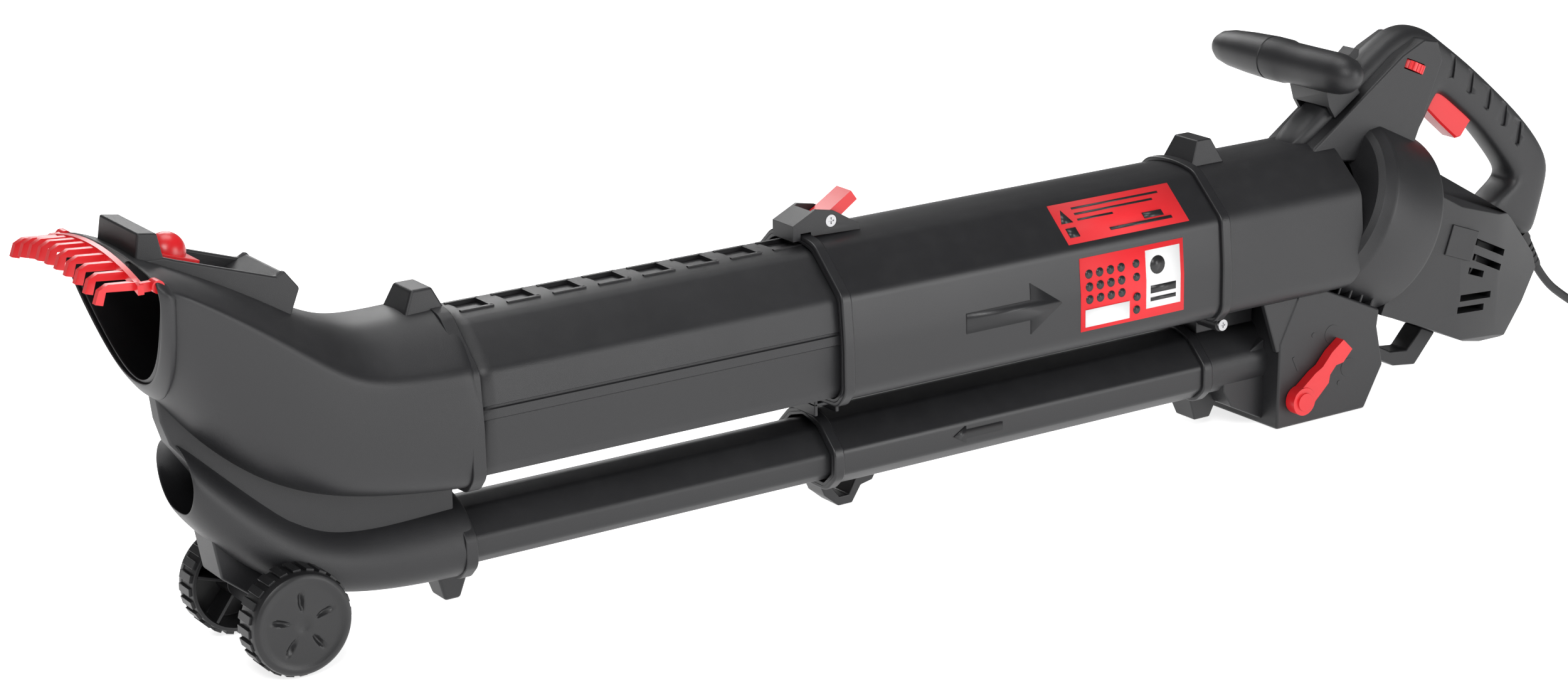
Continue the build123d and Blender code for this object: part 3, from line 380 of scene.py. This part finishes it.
SUCTION_SIDE = [(26, 209.5), (59, 180), (62, 146), (62, 112)]
BLOW_SIDE = [(37, 59), (37, 42)]
EMBOSSED, FILM, PRINT, OVERPRINT = 0.4, 0.25, 0.4, 0.55
FLOW_ARROW = [(-349, 135.6), (-291.6, 135.6), (-291.6, 125), (-263, 143.7), (-291.6, 163),
              (-291.6, 150.5), (-349, 150.5)]
BLOW_ARROW = [(-343, 50.4), (-332, 57), (-332, 53.8), (-299, 53.8), (-299, 47.4), (-332, 47.4),
              (-332, 44.4)]
on_tube("flow_arrow", [FLOW_ARROW], SUCTION_SIDE, EMBOSSED, tube_plastic)
on_tube("blow_arrow", [BLOW_ARROW], BLOW_SIDE, EMBOSSED, tube_plastic)
# Two plain printed labels, with bars and spots in place of any wording.
label_red = moulded("printed red film", (0.74, 0.013, 0.020), 0.6, 0.02)
label_white = moulded("printed white film", (0.80, 0.80, 0.80), 0.6, 0.02)
label_ink = moulded("printed black ink", (0.015, 0.015, 0.016), 0.35, 0.02)
on_tube("warning_label", [panel(-252, 183.4, -139, 207)], SUCTION_SIDE, FILM, label_red)
on_tube("warning_label_ink", [
    [(-248.5, 195.5), (-237.5, 195.5), (-243, 203.5)], panel(-247.5, 187, -238.5, 192.5),
    panel(-233, 202.6, -152, 203.8), panel(-233, 199.2, -160, 200.4), panel(-233, 195.8, -200, 197),
    panel(-210, 187, -152, 188.6), panel(-176, 189.6, -158, 193)],
    SUCTION_SIDE, PRINT, label_ink)
on_tube("rating_label", [panel(-246, 118, -149, 173)], SUCTION_SIDE, FILM, label_red)
on_tube("rating_label_panels", [panel(-185, 125, -152.5, 169), panel(-242, 121, -201, 134)],
        SUCTION_SIDE, PRINT, label_white)
on_tube("rating_label_ink", [
    *[spot(x, z, 3.4) for x in (-238, -228, -218, -208) for z in (141.5, 151, 160.5)],
    *[spot(-194, z, 3.2) for z in (126, 136, 151, 161)], panel(-236, 125, -208, 129),
    panel(-181, 130, -157, 133), panel(-181, 136, -157, 142), spot(-174, 157, 7)],
    SUCTION_SIDE, OVERPRINT, label_ink)

# The inner suction tube has a groove and a lower recess along each side, and stop windows along its
# top for the length lock.
INNER_EDGES = (24.2, 205.2), (54.8, 178)
INNER_HALF = [(0, 208.5), (12.5, 207.8), *INNER_EDGES, (57.3, 155.6), (56.0, 154.9), (56.0, 153.4),
              (57.4, 152.7), (57.6, 146.4), (56.2, 145.4), (56.2, 114), (51, 106.2), (0, 104.5)]
INNER_FRONT, BLOW_INNER_FRONT, INNER_REAR, INNER_WALL = -740, -736, -362, 2.2
FIRST_STOP, STOP_PITCH, STOPS, WINDOW_HALF = -713, 35.3, 10, 12.5
FRAME_Z, FRAME_BAR = 207.3, 2.6
bm = bmesh.new()
stations = [INNER_FRONT]
for i in range(STOPS):
    middle = FIRST_STOP + STOP_PITCH * i
    stations += [middle - WINDOW_HALF, middle + WINDOW_HALF]
stretched(bm, both_sides(INNER_HALF), [*stations, INNER_REAR], 0)
corners = [e for e in bm.edges if abs(e.verts[0].co.x - e.verts[1].co.x) > 0.001
           and any(abs(abs(e.verts[0].co.y) - y * 0.001) < 1e-5 and abs(e.verts[0].co.z - z * 0.001) < 1e-5
                   for y, z in INNER_EDGES)]
bmesh.ops.bevel(bm, geom=corners, offset=0.004, offset_type="OFFSET", segments=4, profile=0.5, affect="EDGES",
                material=-1)
windows = [f for f in bm.faces
           if f.calc_center_median().z > 0.2 and abs(f.calc_center_median().y) < 0.0125
           and any(abs(f.calc_center_median().x * 1000 - FIRST_STOP - STOP_PITCH * i) < 1
                   for i in range(STOPS))]
bmesh.ops.inset_region(bm, faces=windows, thickness=0.0016, depth=0, use_even_offset=True)
sunk = bmesh.ops.extrude_face_region(bm, geom=windows)
bmesh.ops.delete(bm, geom=windows, context="FACES_ONLY")
bmesh.ops.translate(bm, verts=[g for g in sunk["geom"] if isinstance(g, bmesh.types.BMVert)],
                    vec=at(0, 0, -2.4))
for i in range(STOPS):
    middle = FIRST_STOP + STOP_PITCH * i
    for y in (-11, 11):
        block(bm, (middle, y, FRAME_Z), (2 * WINDOW_HALF, FRAME_BAR, 3))
    block(bm, (middle + 11.2, 0, FRAME_Z), (FRAME_BAR, 22, 3))
piece(bm, "suction_tube_inner", "nozzle_end", black_plastic,
      ["inner_suction_tube"], wall=INNER_WALL)
sleeve("blow_tube_inner", grown(both_sides(BLOW_HALF), -4.5)[:6], BLOW_INNER_FRONT, INNER_REAR,
       "nozzle_end", black_plastic, corner=2.5, wall=INNER_WALL,
       replaces=["inner_blow_tube"])


# ---- nozzle head ---------------------------------------------------------------------------------
# One blow-moulded head: a suction duct that turns up and widens to a V-shaped mouth, and under it the
# blow duct with its own small mouth. The two are joined by a curved web.
def skin(bm, sections, ridge=None, sharpness=0.75):
    """A duct's outer skin through rings. A ring is its lowest and highest point and half widths."""
    rings, corners = [], []
    for low, high, widths in sections:
        base, rise = at(low[0], 0, low[1]), at(high[0] - low[0], 0, high[1] - low[1])
        ring = [bm.verts.new(base + rise * t + at(0, y, 0)) for y, t in
                widths + [(-y, t) for y, t in reversed(widths)]]
        rings.append([bm.edges.new((a, b)) for a, b in zip(ring, ring[1:] + ring[:1])])
        if ridge is not None:
            corners.append((ring[ridge], ring[-1 - ridge]))
    for one, other in zip(rings, rings[1:]):
        bmesh.ops.bridge_loops(bm, edges=one + other)
    crease = bm.edges.layers.float.new("crease_edge")
    for before, after in zip(corners, corners[1:]):
        for pair in zip(before, after):
            edge = bm.edges.get(pair)
            if edge:
                edge[crease] = sharpness


SUCTION_SKIN = [
    ((-740, 100), (-740, 213.5),
     [(30, 0), (55, 0.03), (63, 0.12), (63.5, 0.42), (61, 0.72), (27, 0.975), (9, 1)]),
    ((-752, 100), (-751, 213),
     [(30, 0), (55, 0.03), (63, 0.12), (63.5, 0.42), (61, 0.72), (27, 0.975), (9, 1)]),
    ((-795, 102), (-786, 211.5),
     [(26, 0), (50, 0.04), (61, 0.14), (63, 0.42), (60, 0.74), (28, 0.975), (9, 1)]),
    ((-845, 110), (-815, 212.5),
     [(22, 0), (44, 0.04), (58, 0.16), (62, 0.44), (61, 0.76), (30, 0.975), (10, 1)]),
    ((-882, 128), (-842, 225),
     [(18, 0), (38, 0.05), (54, 0.20), (63, 0.50), (63, 0.80), (33, 0.98), (12, 1)]),
    ((-916, 158), (-884, 250),
     [(13, 0), (31, 0.06), (49, 0.24), (62, 0.54), (68, 0.83), (42, 0.98), (14, 1)]),
    ((-938, 188), (-930, 274), [(9, 0), (25, 0.07), (44, 0.27), (61, 0.58), (73, 0.86), (53, 0.97), (18, 1)]),
    ((-948, 203), (-966, 290), [(7, 0), (24, 0.08), (44, 0.28), (64, 0.60), (77, 0.87), (60, 0.96), (22, 1)]),
]
bm = bmesh.new()
skin(bm, SUCTION_SKIN, ridge=4)
piece(bm, "suction_nozzle_duct", "nozzle_end", black_plastic, ["suction_nozzle"], wall=3, smooth=3)

BLOW_SKIN = [
    ((-736, 31), (-736, 82),
     [(10, 0), (26, 0.02), (37.5, 0.22), (37.5, 0.55), (26, 0.86), (12, 0.98), (4, 1)]),
    ((-748, 31), (-748, 82),
     [(10, 0), (26, 0.02), (37.5, 0.22), (37.5, 0.55), (26, 0.86), (12, 0.98), (4, 1)]),
    ((-800, 33), (-796, 79),
     [(10, 0), (26, 0.02), (36.5, 0.22), (36.5, 0.55), (26, 0.86), (12, 0.98), (4, 1)]),
    ((-850, 43), (-834, 80),
     [(10, 0), (25, 0.02), (35.5, 0.22), (35.5, 0.55), (26, 0.86), (12, 0.98), (4, 1)]),
    ((-888, 66), (-862, 95), [(9, 0), (23, 0.02), (33, 0.22), (34, 0.55), (25, 0.86), (12, 0.98), (4, 1)]),
    ((-914, 92), (-900, 126), [(7, 0), (19, 0.03), (29, 0.24), (31, 0.56), (23, 0.86), (11, 0.98), (4, 1)]),
    ((-928, 110), (-933, 157), [(5, 0), (15, 0.04), (25, 0.25), (29, 0.56), (21, 0.86), (10, 0.98), (4, 1)]),
]
bm = bmesh.new()
skin(bm, BLOW_SKIN)
piece(bm, "blow_nozzle_duct", "nozzle_end", black_plastic, ["blow_nozzle"], wall=3, smooth=3)

FLANGE_WALL = 6
sleeve("head_rim", SUCTION_HALF, INNER_FRONT - 10, INNER_FRONT, "nozzle_end",
       black_plastic, grow=4, wall=FLANGE_WALL)
sleeve("blow_head_rim", BLOW_HALF, BLOW_INNER_FRONT - 9, BLOW_INNER_FRONT, "nozzle_end",
       black_plastic, grow=3.5, wall=FLANGE_WALL)

bm = bmesh.new()
WEB = [(-744, 70), (-744, 108), (-795, 110), (-845, 118), (-882, 136), (-914, 166), (-936, 193),
       (-941, 190), (-939, 172), (-934, 156), (-928, 148), (-914, 128), (-896, 106), (-868, 88),
       (-838, 72), (-796, 67)]
plate(bm, WEB, -24, 24)
for vert in bm.verts:
    vert.co.y *= 1 - 0.72 * max(0, -0.860 - vert.co.x) / 0.081
piece(bm, "head_web", "nozzle_end", black_plastic, soft=2)

# A shallow raised panel on each side in front of the flange.
bm = bmesh.new()
for side in (-1, 1):
    rows = []
    for x, bottom, top in ((-789, 103, 211.6), (-750, 100, 213)):
        rows.append([bm.verts.new(at(x, side * y, bottom + (top - bottom) * t)) for y, t in
                     ((58.4, 0.09), (62.6, 0.16), (63.6, 0.28), (63.8, 0.42), (63.0, 0.56), (61.8, 0.70))])
    edges = [[bm.edges.new(pair) for pair in zip(row, row[1:])] for row in rows]
    bmesh.ops.bridge_loops(bm, edges=edges[0] + edges[1])
piece(bm, "head_panels", "nozzle_end", black_plastic, wall=2.4, soft=0.5)

# Raised cheeks beside the mouth.
bm = bmesh.new()
skin(bm, [
    ((-949, 201), (-967, 290), [(12, 0), (30, 0.08), (50, 0.28), (70, 0.60), (81.5, 0.86), (74, 0.95)]),
    ((-943, 193), (-958, 286), [(13, 0), (31, 0.07), (50.5, 0.27), (69.5, 0.59), (80.5, 0.86), (73, 0.95)]),
    ((-940, 189), (-955, 284), [(10, 0.01), (26, 0.08), (45, 0.28), (62.5, 0.59), (74, 0.86), (66, 0.95)]),
], ridge=4, sharpness=1.0)
top = [f for f in bm.faces if f.calc_center_median().z > 0.255 and abs(f.calc_center_median().y) < 0.03]
bmesh.ops.delete(bm, geom=top, context="FACES")
piece(bm, "mouth_cheeks", "nozzle_end", black_plastic, wall=3, smooth=2)

# Tray on top of the head, with the stop block in front and the box behind.
bm = bmesh.new()
for side in (-1, 1):
    low, high = sorted((side * 30.5, side * 25.5))
    plate(bm, [(-964, 276), (-962, 286), (-938, 285), (-930, 282), (-864, 260), (-858, 263), (-848, 250),
               (-858, 226), (-905, 240)], low, high)
plate(bm, [(-957, 272), (-957, 286), (-954, 303), (-941, 301), (-938, 286), (-932, 262)], -30, 30)
plate(bm, [(-876, 226), (-874, 256), (-858, 262), (-848, 250), (-858, 226)], -29, 29)
plate(bm, [(-940, 264), (-940, 272), (-870, 249), (-870, 230)], -28, 28)
piece(bm, "head_tray", "nozzle_end", black_plastic, soft=1.6)


def release_tab(bm, x, z, length, width, height):
    """A tab for letting a joint go, narrowing towards its free end; a negative height hangs it down."""
    shape = block(bm, (x, 0, z + height / 2), (length, width, abs(height)))
    for vert in shape:
        if (vert.co.z * 1000 - z) * height > 0.5 * height * height:
            vert.co.x = (x + (vert.co.x * 1000 - x) * 0.42) * 0.001
            vert.co.y *= 0.74


bm = bmesh.new()
release_tab(bm, -754, 207, 36, 36, 22)
release_tab(bm, -741, 34, 28, 26, -26)
piece(bm, "head_tabs", "nozzle_end", black_plastic, soft=2)


# ---- guide wheels --------------------------------------------------------------------------------
# Two moulded wheels on a steel axle. Each has a ring of tread blocks, a dished outer face with five
# almond-shaped dimples round a centre one, and is open on its inner side.
def turned(bm, points, centre, axis, steps):
    """A profile turned once round an axis."""
    spots = [bm.verts.new(point) for point in points]
    edges = [bm.edges.new(pair) for pair in zip(spots, spots[1:])]
    bmesh.ops.spin(bm, geom=spots + edges, cent=centre, axis=axis, angle=2 * pi, steps=steps, use_merge=True)


def peg(bm, place, radius, length, segments=40):
    """A round peg across the machine, in millimetres."""
    bmesh.ops.create_cone(bm, cap_ends=True, segments=segments, radius1=radius * 0.001,
                          radius2=radius * 0.001, depth=length * 0.001,
                          matrix=Matrix.Translation(place) @ Matrix.Rotation(pi / 2, 4, "X"))


wheel_plastic = moulded("black wheel plastic", (0.012, 0.012, 0.013), 0.40, 0.2)
WHEEL_R, FACE_FROM, FACE_R = 36.5, 0.0588, 0.0255
DIMPLES, DIMPLE_DEEP, DIMPLE_HALF_LONG, DIMPLE_HALF_WIDE = 5, 0.0030, 0.0068, 0.0023
AXLE = at(-874, 0, WHEEL_R)
for side, wheel_name, wheel_body in ((-1, "wheel_left", "left_wheel"), (1, "wheel_right", "right_wheel")):
    bm = bmesh.new()
    profile = [(36.5, 5.05), (36.5, 9.5), (54, 10.5), (56, 29), (40, 30.5), (36.5, 31.5), (36.6, 33.9),
               (37.4, 34.3), (52.5, 34.3), (53.5, 34.9), (56.5, 34.9), (58.8, 34.1), (60.2, 32.1),
               (60.4, 30.7), (59.9, 29.1), (59.2, 27.5), (59.0, 25.5)]
    profile += [(59.0 + 0.0012 * (25.5 - r) ** 2, r) for r in range(24, 1, -2)] + [(59.9, 0.0)]
    turned(bm, [AXLE + at(0, side * y, r) for y, r in profile], AXLE, (0, 1, 0), 120)
    for vert in bm.verts:
        arm = vert.co - AXLE
        if abs(arm.y) < FACE_FROM or arm.xz.length > FACE_R:
            continue
        dent = 0.0014 * max(0, 1 - (arm.xz.length / 0.0052) ** 2)
        for i in range(DIMPLES):
            turn = radians(360 / DIMPLES * i + 20)
            along = arm.x * cos(turn) + arm.z * sin(turn) - 0.0165
            off = arm.z * cos(turn) - arm.x * sin(turn)
            hollow = 1 - (along / DIMPLE_HALF_LONG) ** 2 - (off / DIMPLE_HALF_WIDE) ** 2
            dent = max(dent, DIMPLE_DEEP * max(0, hollow))
        vert.co.y -= side * dent
    for count, rib_at, size in ((24, (0, side * 46.2, WHEEL_R - 1.5), (5.6, 16.4, 2.8)),
                                 (5, (0, side * 45.5, 20), (2.2, 17, 22))):
        for i in range(count):
            rib = block(bm, rib_at, size)
            swing = Matrix.Translation(AXLE) @ Matrix.Rotation(2 * pi * i / count, 4, "Y")
            bmesh.ops.transform(bm, matrix=swing, verts=rib)
    piece(bm, wheel_name + "_body", wheel_body, wheel_plastic, [wheel_name], soft=0.35, sharp=30)

# The bracket that carries the axle hangs under the blow duct.
bm = bmesh.new()
plate(bm, [(-914, 92), (-909, 62), (-884, 42), (-866, 42), (-850, 52), (-856, 74)], -15, 15)
peg(bm, AXLE, 10, 68)
piece(bm, "axle_bracket", "nozzle_end", black_plastic, soft=1.5)


# ---- rake, its release and the length lock -------------------------------------------------------
# Small red mouldings that are snapped or pinned to the black ones, with lightly rounded edges.
def softened(node, body, surface, soft):
    """A moulding of a CAD piece's own shape with its edges rounded over."""
    bm = bmesh.new()
    bm.from_mesh(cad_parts[node].data)
    bmesh.ops.remove_doubles(bm, verts=bm.verts[:], dist=0.00003)
    bmesh.ops.dissolve_limit(bm, angle_limit=radians(1.5), verts=bm.verts[:], edges=bm.edges[:])
    piece(bm, node + "_moulding", body, surface, [node], soft=soft)


red_plastic = moulded("red gloss plastic", (0.66, 0.009, 0.014), 0.34, 0.06,
                      Coat_Weight=0.2, Coat_Roughness=0.25)
softened("rake", "rake_bar", red_plastic, 0.7)
softened("lock_lever", "length_lock", red_plastic, 1.2)
softened("lock_housing", "machine", black_plastic, 1.2)
bm = bmesh.new()
bmesh.ops.create_uvsphere(bm, u_segments=48, v_segments=24, radius=0.0128)
TRAY_SLOPE = radians(18.4)
bmesh.ops.bisect_plane(bm, geom=bm.verts[:] + bm.edges[:] + bm.faces[:], plane_co=(0, 0, -0.003),
                       plane_no=(0, 0, 1), clear_inner=True)
bmesh.ops.transform(bm, matrix=Matrix.Translation(at(-924, 0, 280)) @ Matrix.Rotation(TRAY_SLOPE, 4, "Y"),
                    verts=bm.verts[:])
block(bm, (-921, 0, 277.5), (28, 28, 3), TRAY_SLOPE)
piece(bm, "release_button", "release", red_plastic, ["rake_release"], soft=0.4)

# ---- fan housing ---------------------------------------------------------------------------------
# Two grained halves that meet in the middle plane: the inlet duct, the tilted fan drum with a
# rounded rim, the diverter box and the neck for the blow tube.
FAN, FAN_TILT = at(66, 0, 145.7), radians(25.8)
FAN_WAY = Vector((cos(FAN_TILT), 0, -sin(FAN_TILT)))
FAN_UP = Vector((sin(FAN_TILT), 0, cos(FAN_TILT)))
DRUM = [(-34, 40), (-34, 64.5), (-31, 69.5), (-29.5, 70.2), (-24, 73.6), (-22.4, 74.6),
        (-20.5, 75), (29.5, 75), (32, 74.2), (33, 72), (33, 36)]
bm = bmesh.new()
turned(bm, [FAN + FAN_WAY * (s * 0.001) + FAN_UP * (r * 0.001) for s, r in DRUM], FAN, FAN_WAY, 128)
piece(bm, "fan_drum", "machine", black_plastic,
      ["fan_housing_left", "fan_housing_right"], sharp=22)


def cut_off(bm, place, way):
    """Cuts away what lies beyond a plane and closes the cut."""
    cut = bmesh.ops.bisect_plane(bm, geom=bm.verts[:] + bm.edges[:] + bm.faces[:], plane_co=place,
                                 plane_no=way, clear_outer=True)
    edges = [g for g in cut["geom_cut"] if isinstance(g, bmesh.types.BMEdge)]
    return bmesh.ops.holes_fill(bm, edges=edges, sides=0)["faces"]


bm = bmesh.new()
stretched(bm, both_sides(SUCTION_HALF), [SUCTION_REAR, -60, 30], 7)
DRUM_FRONT, END_WALL = 0.022, 0.022
closed = cut_off(bm, FAN - FAN_WAY * DRUM_FRONT, FAN_WAY)
bmesh.ops.inset_region(bm, faces=closed, thickness=END_WALL, use_even_offset=True)
bmesh.ops.delete(bm, geom=closed, context="FACES")
piece(bm, "inlet_duct", "machine", black_plastic, wall=3, soft=0.8)

bm = bmesh.new()
BOX_HALF = 52
BOX = [(-45.5, 0), (45.5, 0), (64, 33), (57, 65), (59, 79), (3, 104), (-26, 104), (-44, 68.6)]
plate(bm, BOX, -BOX_HALF, BOX_HALF)
piece(bm, "diverter_box", "machine", black_plastic, soft=2.2)
# Stop pins, plain round fields and the lever's stop on the box's sides.
bm = bmesh.new()
for side in (-1, 1):
    for x, z, radius, rise in ((-9.6, 70, 2, 0.35), (18, 26.3, 2, 0.35), (9.3, 67.4, 7.5, 0.25),
                               (27, 37.4, 7.5, 0.25)):
        peg(bm, at(x, side * (BOX_HALF - 2 + rise), z), radius, 4)
    block(bm, (-27.4, side * 51.3, 50), (2.4, 2.1, 13), radians(-25))
piece(bm, "box_marks", "machine", black_plastic, soft=0.1)

sleeve("blow_neck", BLOW_HALF, BLOW_REAR, -40, "machine", black_plastic, corner=6)
bm = bmesh.new()
plate(bm, [(-84, 34), (-84, 50), (-44, 69), (-44, 4), (-76, 20)], -34, 34)
for side in (-1, 1):
    low, high = sorted((side * 51, side * 46))
    plate(bm, [(-20, 103), (-60, 103), (-46, 62), (-20, 66)], low, high)
block(bm, (-70, 0, 91), (56, 34, 24))
FINS, FIN_PITCH, FIN_DROP = 5, 11.5, 5.1
for i in range(FINS):
    block(bm, (8 + FIN_PITCH * i, 0, 103 - FIN_DROP * i), (2.2, 96, 13), radians(24))
peg(bm, at(-93, 0, 91), 5.6, 80, segments=32)
release_tab(bm, -90, 211, 32, 36, 19)
release_tab(bm, -86, 34, 36, 30, -27)
piece(bm, "housing_webs", "machine", black_plastic, soft=1.5)

# ---- motor housing -------------------------------------------------------------------------------
# A rounded pod behind the drum in two halves, narrowing to its tail, with cooling slots and a plain
# badge panel on each side.
MOTOR = [(118, 183), (175, 150), (212, 128.5), (220, 122), (258, 84), (264, 70), (243, 46),
         (214, 22.5), (190, 23), (161, 31), (110, 54), (66, 71)]
POD_HALF = 46
bm = bmesh.new()
plate(bm, MOTOR, -POD_HALF, POD_HALF)
for x, y, z, along, out, up in ((150, POD_HALF, 0, 0.18, 1, 0), (200, 37, 0, 0.306, 1, 0),
                                (118, 30, 183, 0.3, 0.7, 0.55), (190, 30, 23, 0, 0.6, -0.8)):
    for side in (-1, 1):
        cut_off(bm, at(x, side * y, z), Vector((along, side * out, up)))
motor_pod = piece(bm, "motor_pod", "machine", black_plastic,
                  ["motor_housing_left", "motor_housing_right"], soft=5)


def carve(made, bm):
    """Cuts a closed shape out of a finished piece."""
    bmesh.ops.recalc_face_normals(bm, faces=bm.faces[:])
    mesh = bpy.data.meshes.new("cutter")
    bm.to_mesh(mesh)
    bm.free()
    cutter = bpy.data.objects.new("cutter", mesh)
    bpy.context.scene.collection.objects.link(cutter)
    bore = made.modifiers.new("carve", "BOOLEAN")
    bore.operation, bore.solver, bore.object = "DIFFERENCE", "EXACT", cutter
    evaluated = made.evaluated_get(bpy.context.evaluated_depsgraph_get())
    carved = bpy.data.meshes.new_from_object(evaluated)
    made.modifiers.clear()
    made.data = carved
    bpy.data.objects.remove(cutter)


bm = bmesh.new()
for x, z, length, slope in ((190, 104, 44, 24), (186, 92.5, 42, 24), (171.5, 87, 21, 20), (172, 67, 41, 7),
                            (166, 58, 35, 7)):
    for side in (-1, 1):
        block(bm, (x, side * 42, z), (length, 40, 5.4), radians(slope))
carve(motor_pod, bm)
# The seam's lip over the pod and a plain badge panel on each side.
bm = bmesh.new()
plate(bm, [(120, 184.5), (176, 152.6), (213, 131), (222, 124), (261, 85), (256, 82), (217, 119), (172, 146),
           (118, 178)], -3, 3)
for side in (-1, 1):
    block(bm, (150, side * POD_HALF, 116), (30, 3, 25), radians(20))
piece(bm, "motor_trim", "machine", black_plastic, soft=0.8)

# ---- handle --------------------------------------------------------------------------------------
# Two grained halves screwed together: a sloping rail over the drum, flat cheeks and a closed loop
# whose grip has a row of short grooves.
HANDLE = [((-10, 208), (4, 196), 15, 15), ((30, 238.5), (62, 196), 17, 17),
          ((76, 268.5), (104, 190), 17, 17), ((99, 283), (126, 190), 17, 17),
          ((113, 288), (136, 203), 17, 17), ((127, 288.5), (143, 217), 17, 17),
          ((141, 284), (148, 226), 17, 17), ((154, 273.7), (154, 232), 17, 15.5),
          ((181, 255), (174, 215.5), 17, 15), ((214, 228), (198, 197), 17, 15),
          ((247, 200), (221, 172), 17, 15.5), ((270, 174), (234, 157), 17.5, 16),
          ((280, 155), (240, 147), 17.5, 17), ((277, 135), (228, 139), 17, 17),
          ((270, 108), (210, 131), 17, 17), ((262, 90), (216, 118), 17, 17)]
bm = bmesh.new()
rings = []
for outer, inner, outer_half, inner_half in HANDLE:
    top, bottom = at(outer[0], 0, outer[1]), at(inner[0], 0, inner[1])
    ring = []
    for share, half in ((0.0, 0.42), (0.07, 0.86), (0.26, 1), (0.74, 1), (0.93, 0.86), (1.0, 0.42)):
        width = (outer_half + (inner_half - outer_half) * share) * half
        ring.append((top.lerp(bottom, share), width))
    spots = [bm.verts.new(p + at(0, w, 0)) for p, w in ring]
    spots += [bm.verts.new(p - at(0, w, 0)) for p, w in reversed(ring)]
    rings.append([bm.edges.new((a, b)) for a, b in zip(spots, spots[1:] + spots[:1])])
for one, other in zip(rings, rings[1:]):
    bmesh.ops.bridge_loops(bm, edges=one + other)
bmesh.ops.holes_fill(bm, edges=bm.edges[:], sides=0)
handle = piece(bm, "handle_loop", "machine", black_plastic,
               ["handle_left", "handle_right"], smooth=2)
bm = bmesh.new()
for x, z in ((163.5, 252), (184, 237), (204, 221), (222.5, 204.5), (239, 187)):
    for side in (-1, 1):
        block(bm, (x, side * 17, z), (4.6, 5, 18), radians(8))
block(bm, (170, 0, 227), (60, 17.6, 22), radians(41))
carve(handle, bm)

CHEEK_HALF = 27
CHEEK = [(8, 205), (8, 209), (62, 246), (99, 271), (122, 281), (136, 278), (142, 262), (115, 200),
         (108, 188), (40, 195)]
bm = bmesh.new()
plate(bm, CHEEK, -CHEEK_HALF, CHEEK_HALF)
cheeks = piece(bm, "handle_cheeks", "machine", black_plastic, soft=2.2)
bm = bmesh.new()
block(bm, (111, -24, 261), (20, 12, 8.6), radians(23))
carve(cheeks, bm)

softened("trigger", "trigger_lever", red_plastic, 1.2)
softened("bag_hook", "machine", black_plastic, 1.6)
softened("diverter_lever", "diverter", red_plastic, 1.6)
softened("speed_dial", "dial", red_plastic, 0.3)

# ---- second handle -------------------------------------------------------------------------------
# A round grip across the machine on a bracket that slides along the rail, held by a clamp lever.
GRIP = at(29.47, 0, 266.79)
bm = bmesh.new()
GRIP_PROFILE = [(-51.5, 0), (-51, 4), (-48, 9), (-42, 13.2), (-34, 15.4), (-28, 16), (0, 16),
                (24, 16.1), (28, 17.2), (43.6, 17.4), (44.4, 16.7), (45.2, 16.7), (46, 17.3),
                (70, 16.3), (92, 14.6), (103, 12.4), (109, 9), (111.5, 5), (112, 0)]
turned(bm, [GRIP + at(0, y, r) for y, r in GRIP_PROFILE], GRIP, (0, 1, 0), 64)
piece(bm, "second_grip", "second_handle", black_plastic,
      ["aux_grip", "aux_core", "aux_end_cap"], sharp=28)
softened("aux_bracket", "second_handle", black_plastic, 1.5)
softened("aux_clamp", "clamp", black_plastic, 1.0)

# ---- lead's sleeve and plug ----------------------------------------------------------------------
# Both are moulded on to the lead in black rubber.
bm = bmesh.new()
profile = [(0, 0), (0, 8), (9, 8)]
RIBS, RIB_PITCH = 5, 6
for i in range(RIBS):
    start = 9 + RIB_PITCH * i
    profile += [(start, 5.2 - 0.2 * i), (start + 0.4, 7.2 - 0.55 * i), (start + 4, 7.0 - 0.55 * i),
                (start + 4.4, 5.0 - 0.25 * i)]
profile += [(39, 4.2), (39, 0)]
sideways = GLAND_WAY.cross(Vector((0, 1, 0)))
turned(bm, [GLAND_FROM + GLAND_WAY * (s * 0.001) + sideways * (r * 0.001) for s, r in profile],
       GLAND_FROM, GLAND_WAY, 40)
piece(bm, "lead_sleeve", "machine", rubber, ["cord_gland"])

# ---- plain steel, copper and inner pieces --------------------------------------------------------
# The CAD pieces that keep their own shape: fixings, the axle and all that is sealed inside.
def metal(name, color, roughness):
    surface = Surface(name, color, roughness, Metallic=1.0)
    grain = surface.noise(900.0, 3.0)
    surface.feed(Roughness=roughness + (grain - 0.5) * 0.2,
                 Base_Color=surface.mix(grain, [c * 0.9 for c in color], color))
    surface.rough_up(grain, 0.05, 0.0002)
    return surface.material


steel = metal("zinc-plated steel", (0.48, 0.48, 0.49), 0.34)
laminations = metal("electrical steel", (0.36, 0.36, 0.37), 0.45)
copper = metal("enamelled copper", (0.72, 0.36, 0.18), 0.35)
brass = metal("bare brass", (0.72, 0.56, 0.26), 0.35)
dark_nylon = moulded("dark nylon", (0.03, 0.03, 0.032), 0.5)
board_green = moulded("circuit board", (0.04, 0.22, 0.09), 0.4, 0.05)
carbon = moulded("pressed carbon", (0.05, 0.05, 0.05), 0.6)
for surface, names in (
        (steel, "axle axle_rings lock_screw fan_nut motor_shaft front_bearing rear_bearing diverter_shaft "
                "housing_screws tube_screws"),
        (laminations, "armature stator"), (copper, "windings commutator"), (brass, "brush_holders plug_pins"),
        (dark_nylon, "impeller motor_bracket rear_bracket power_switch diverter_flap"),
        (board_green, "control_board"), (carbon, "carbon_brushes"), (black_plastic, "inlet_ring"),
        (rubber, "plug")):
    for name in names.split():
        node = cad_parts[name]
        node.data.materials.clear()
        node.data.materials.append(surface)

size = {"cad": [list(cad_low), list(cad_high)], "visual": [list(corner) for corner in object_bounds()]}
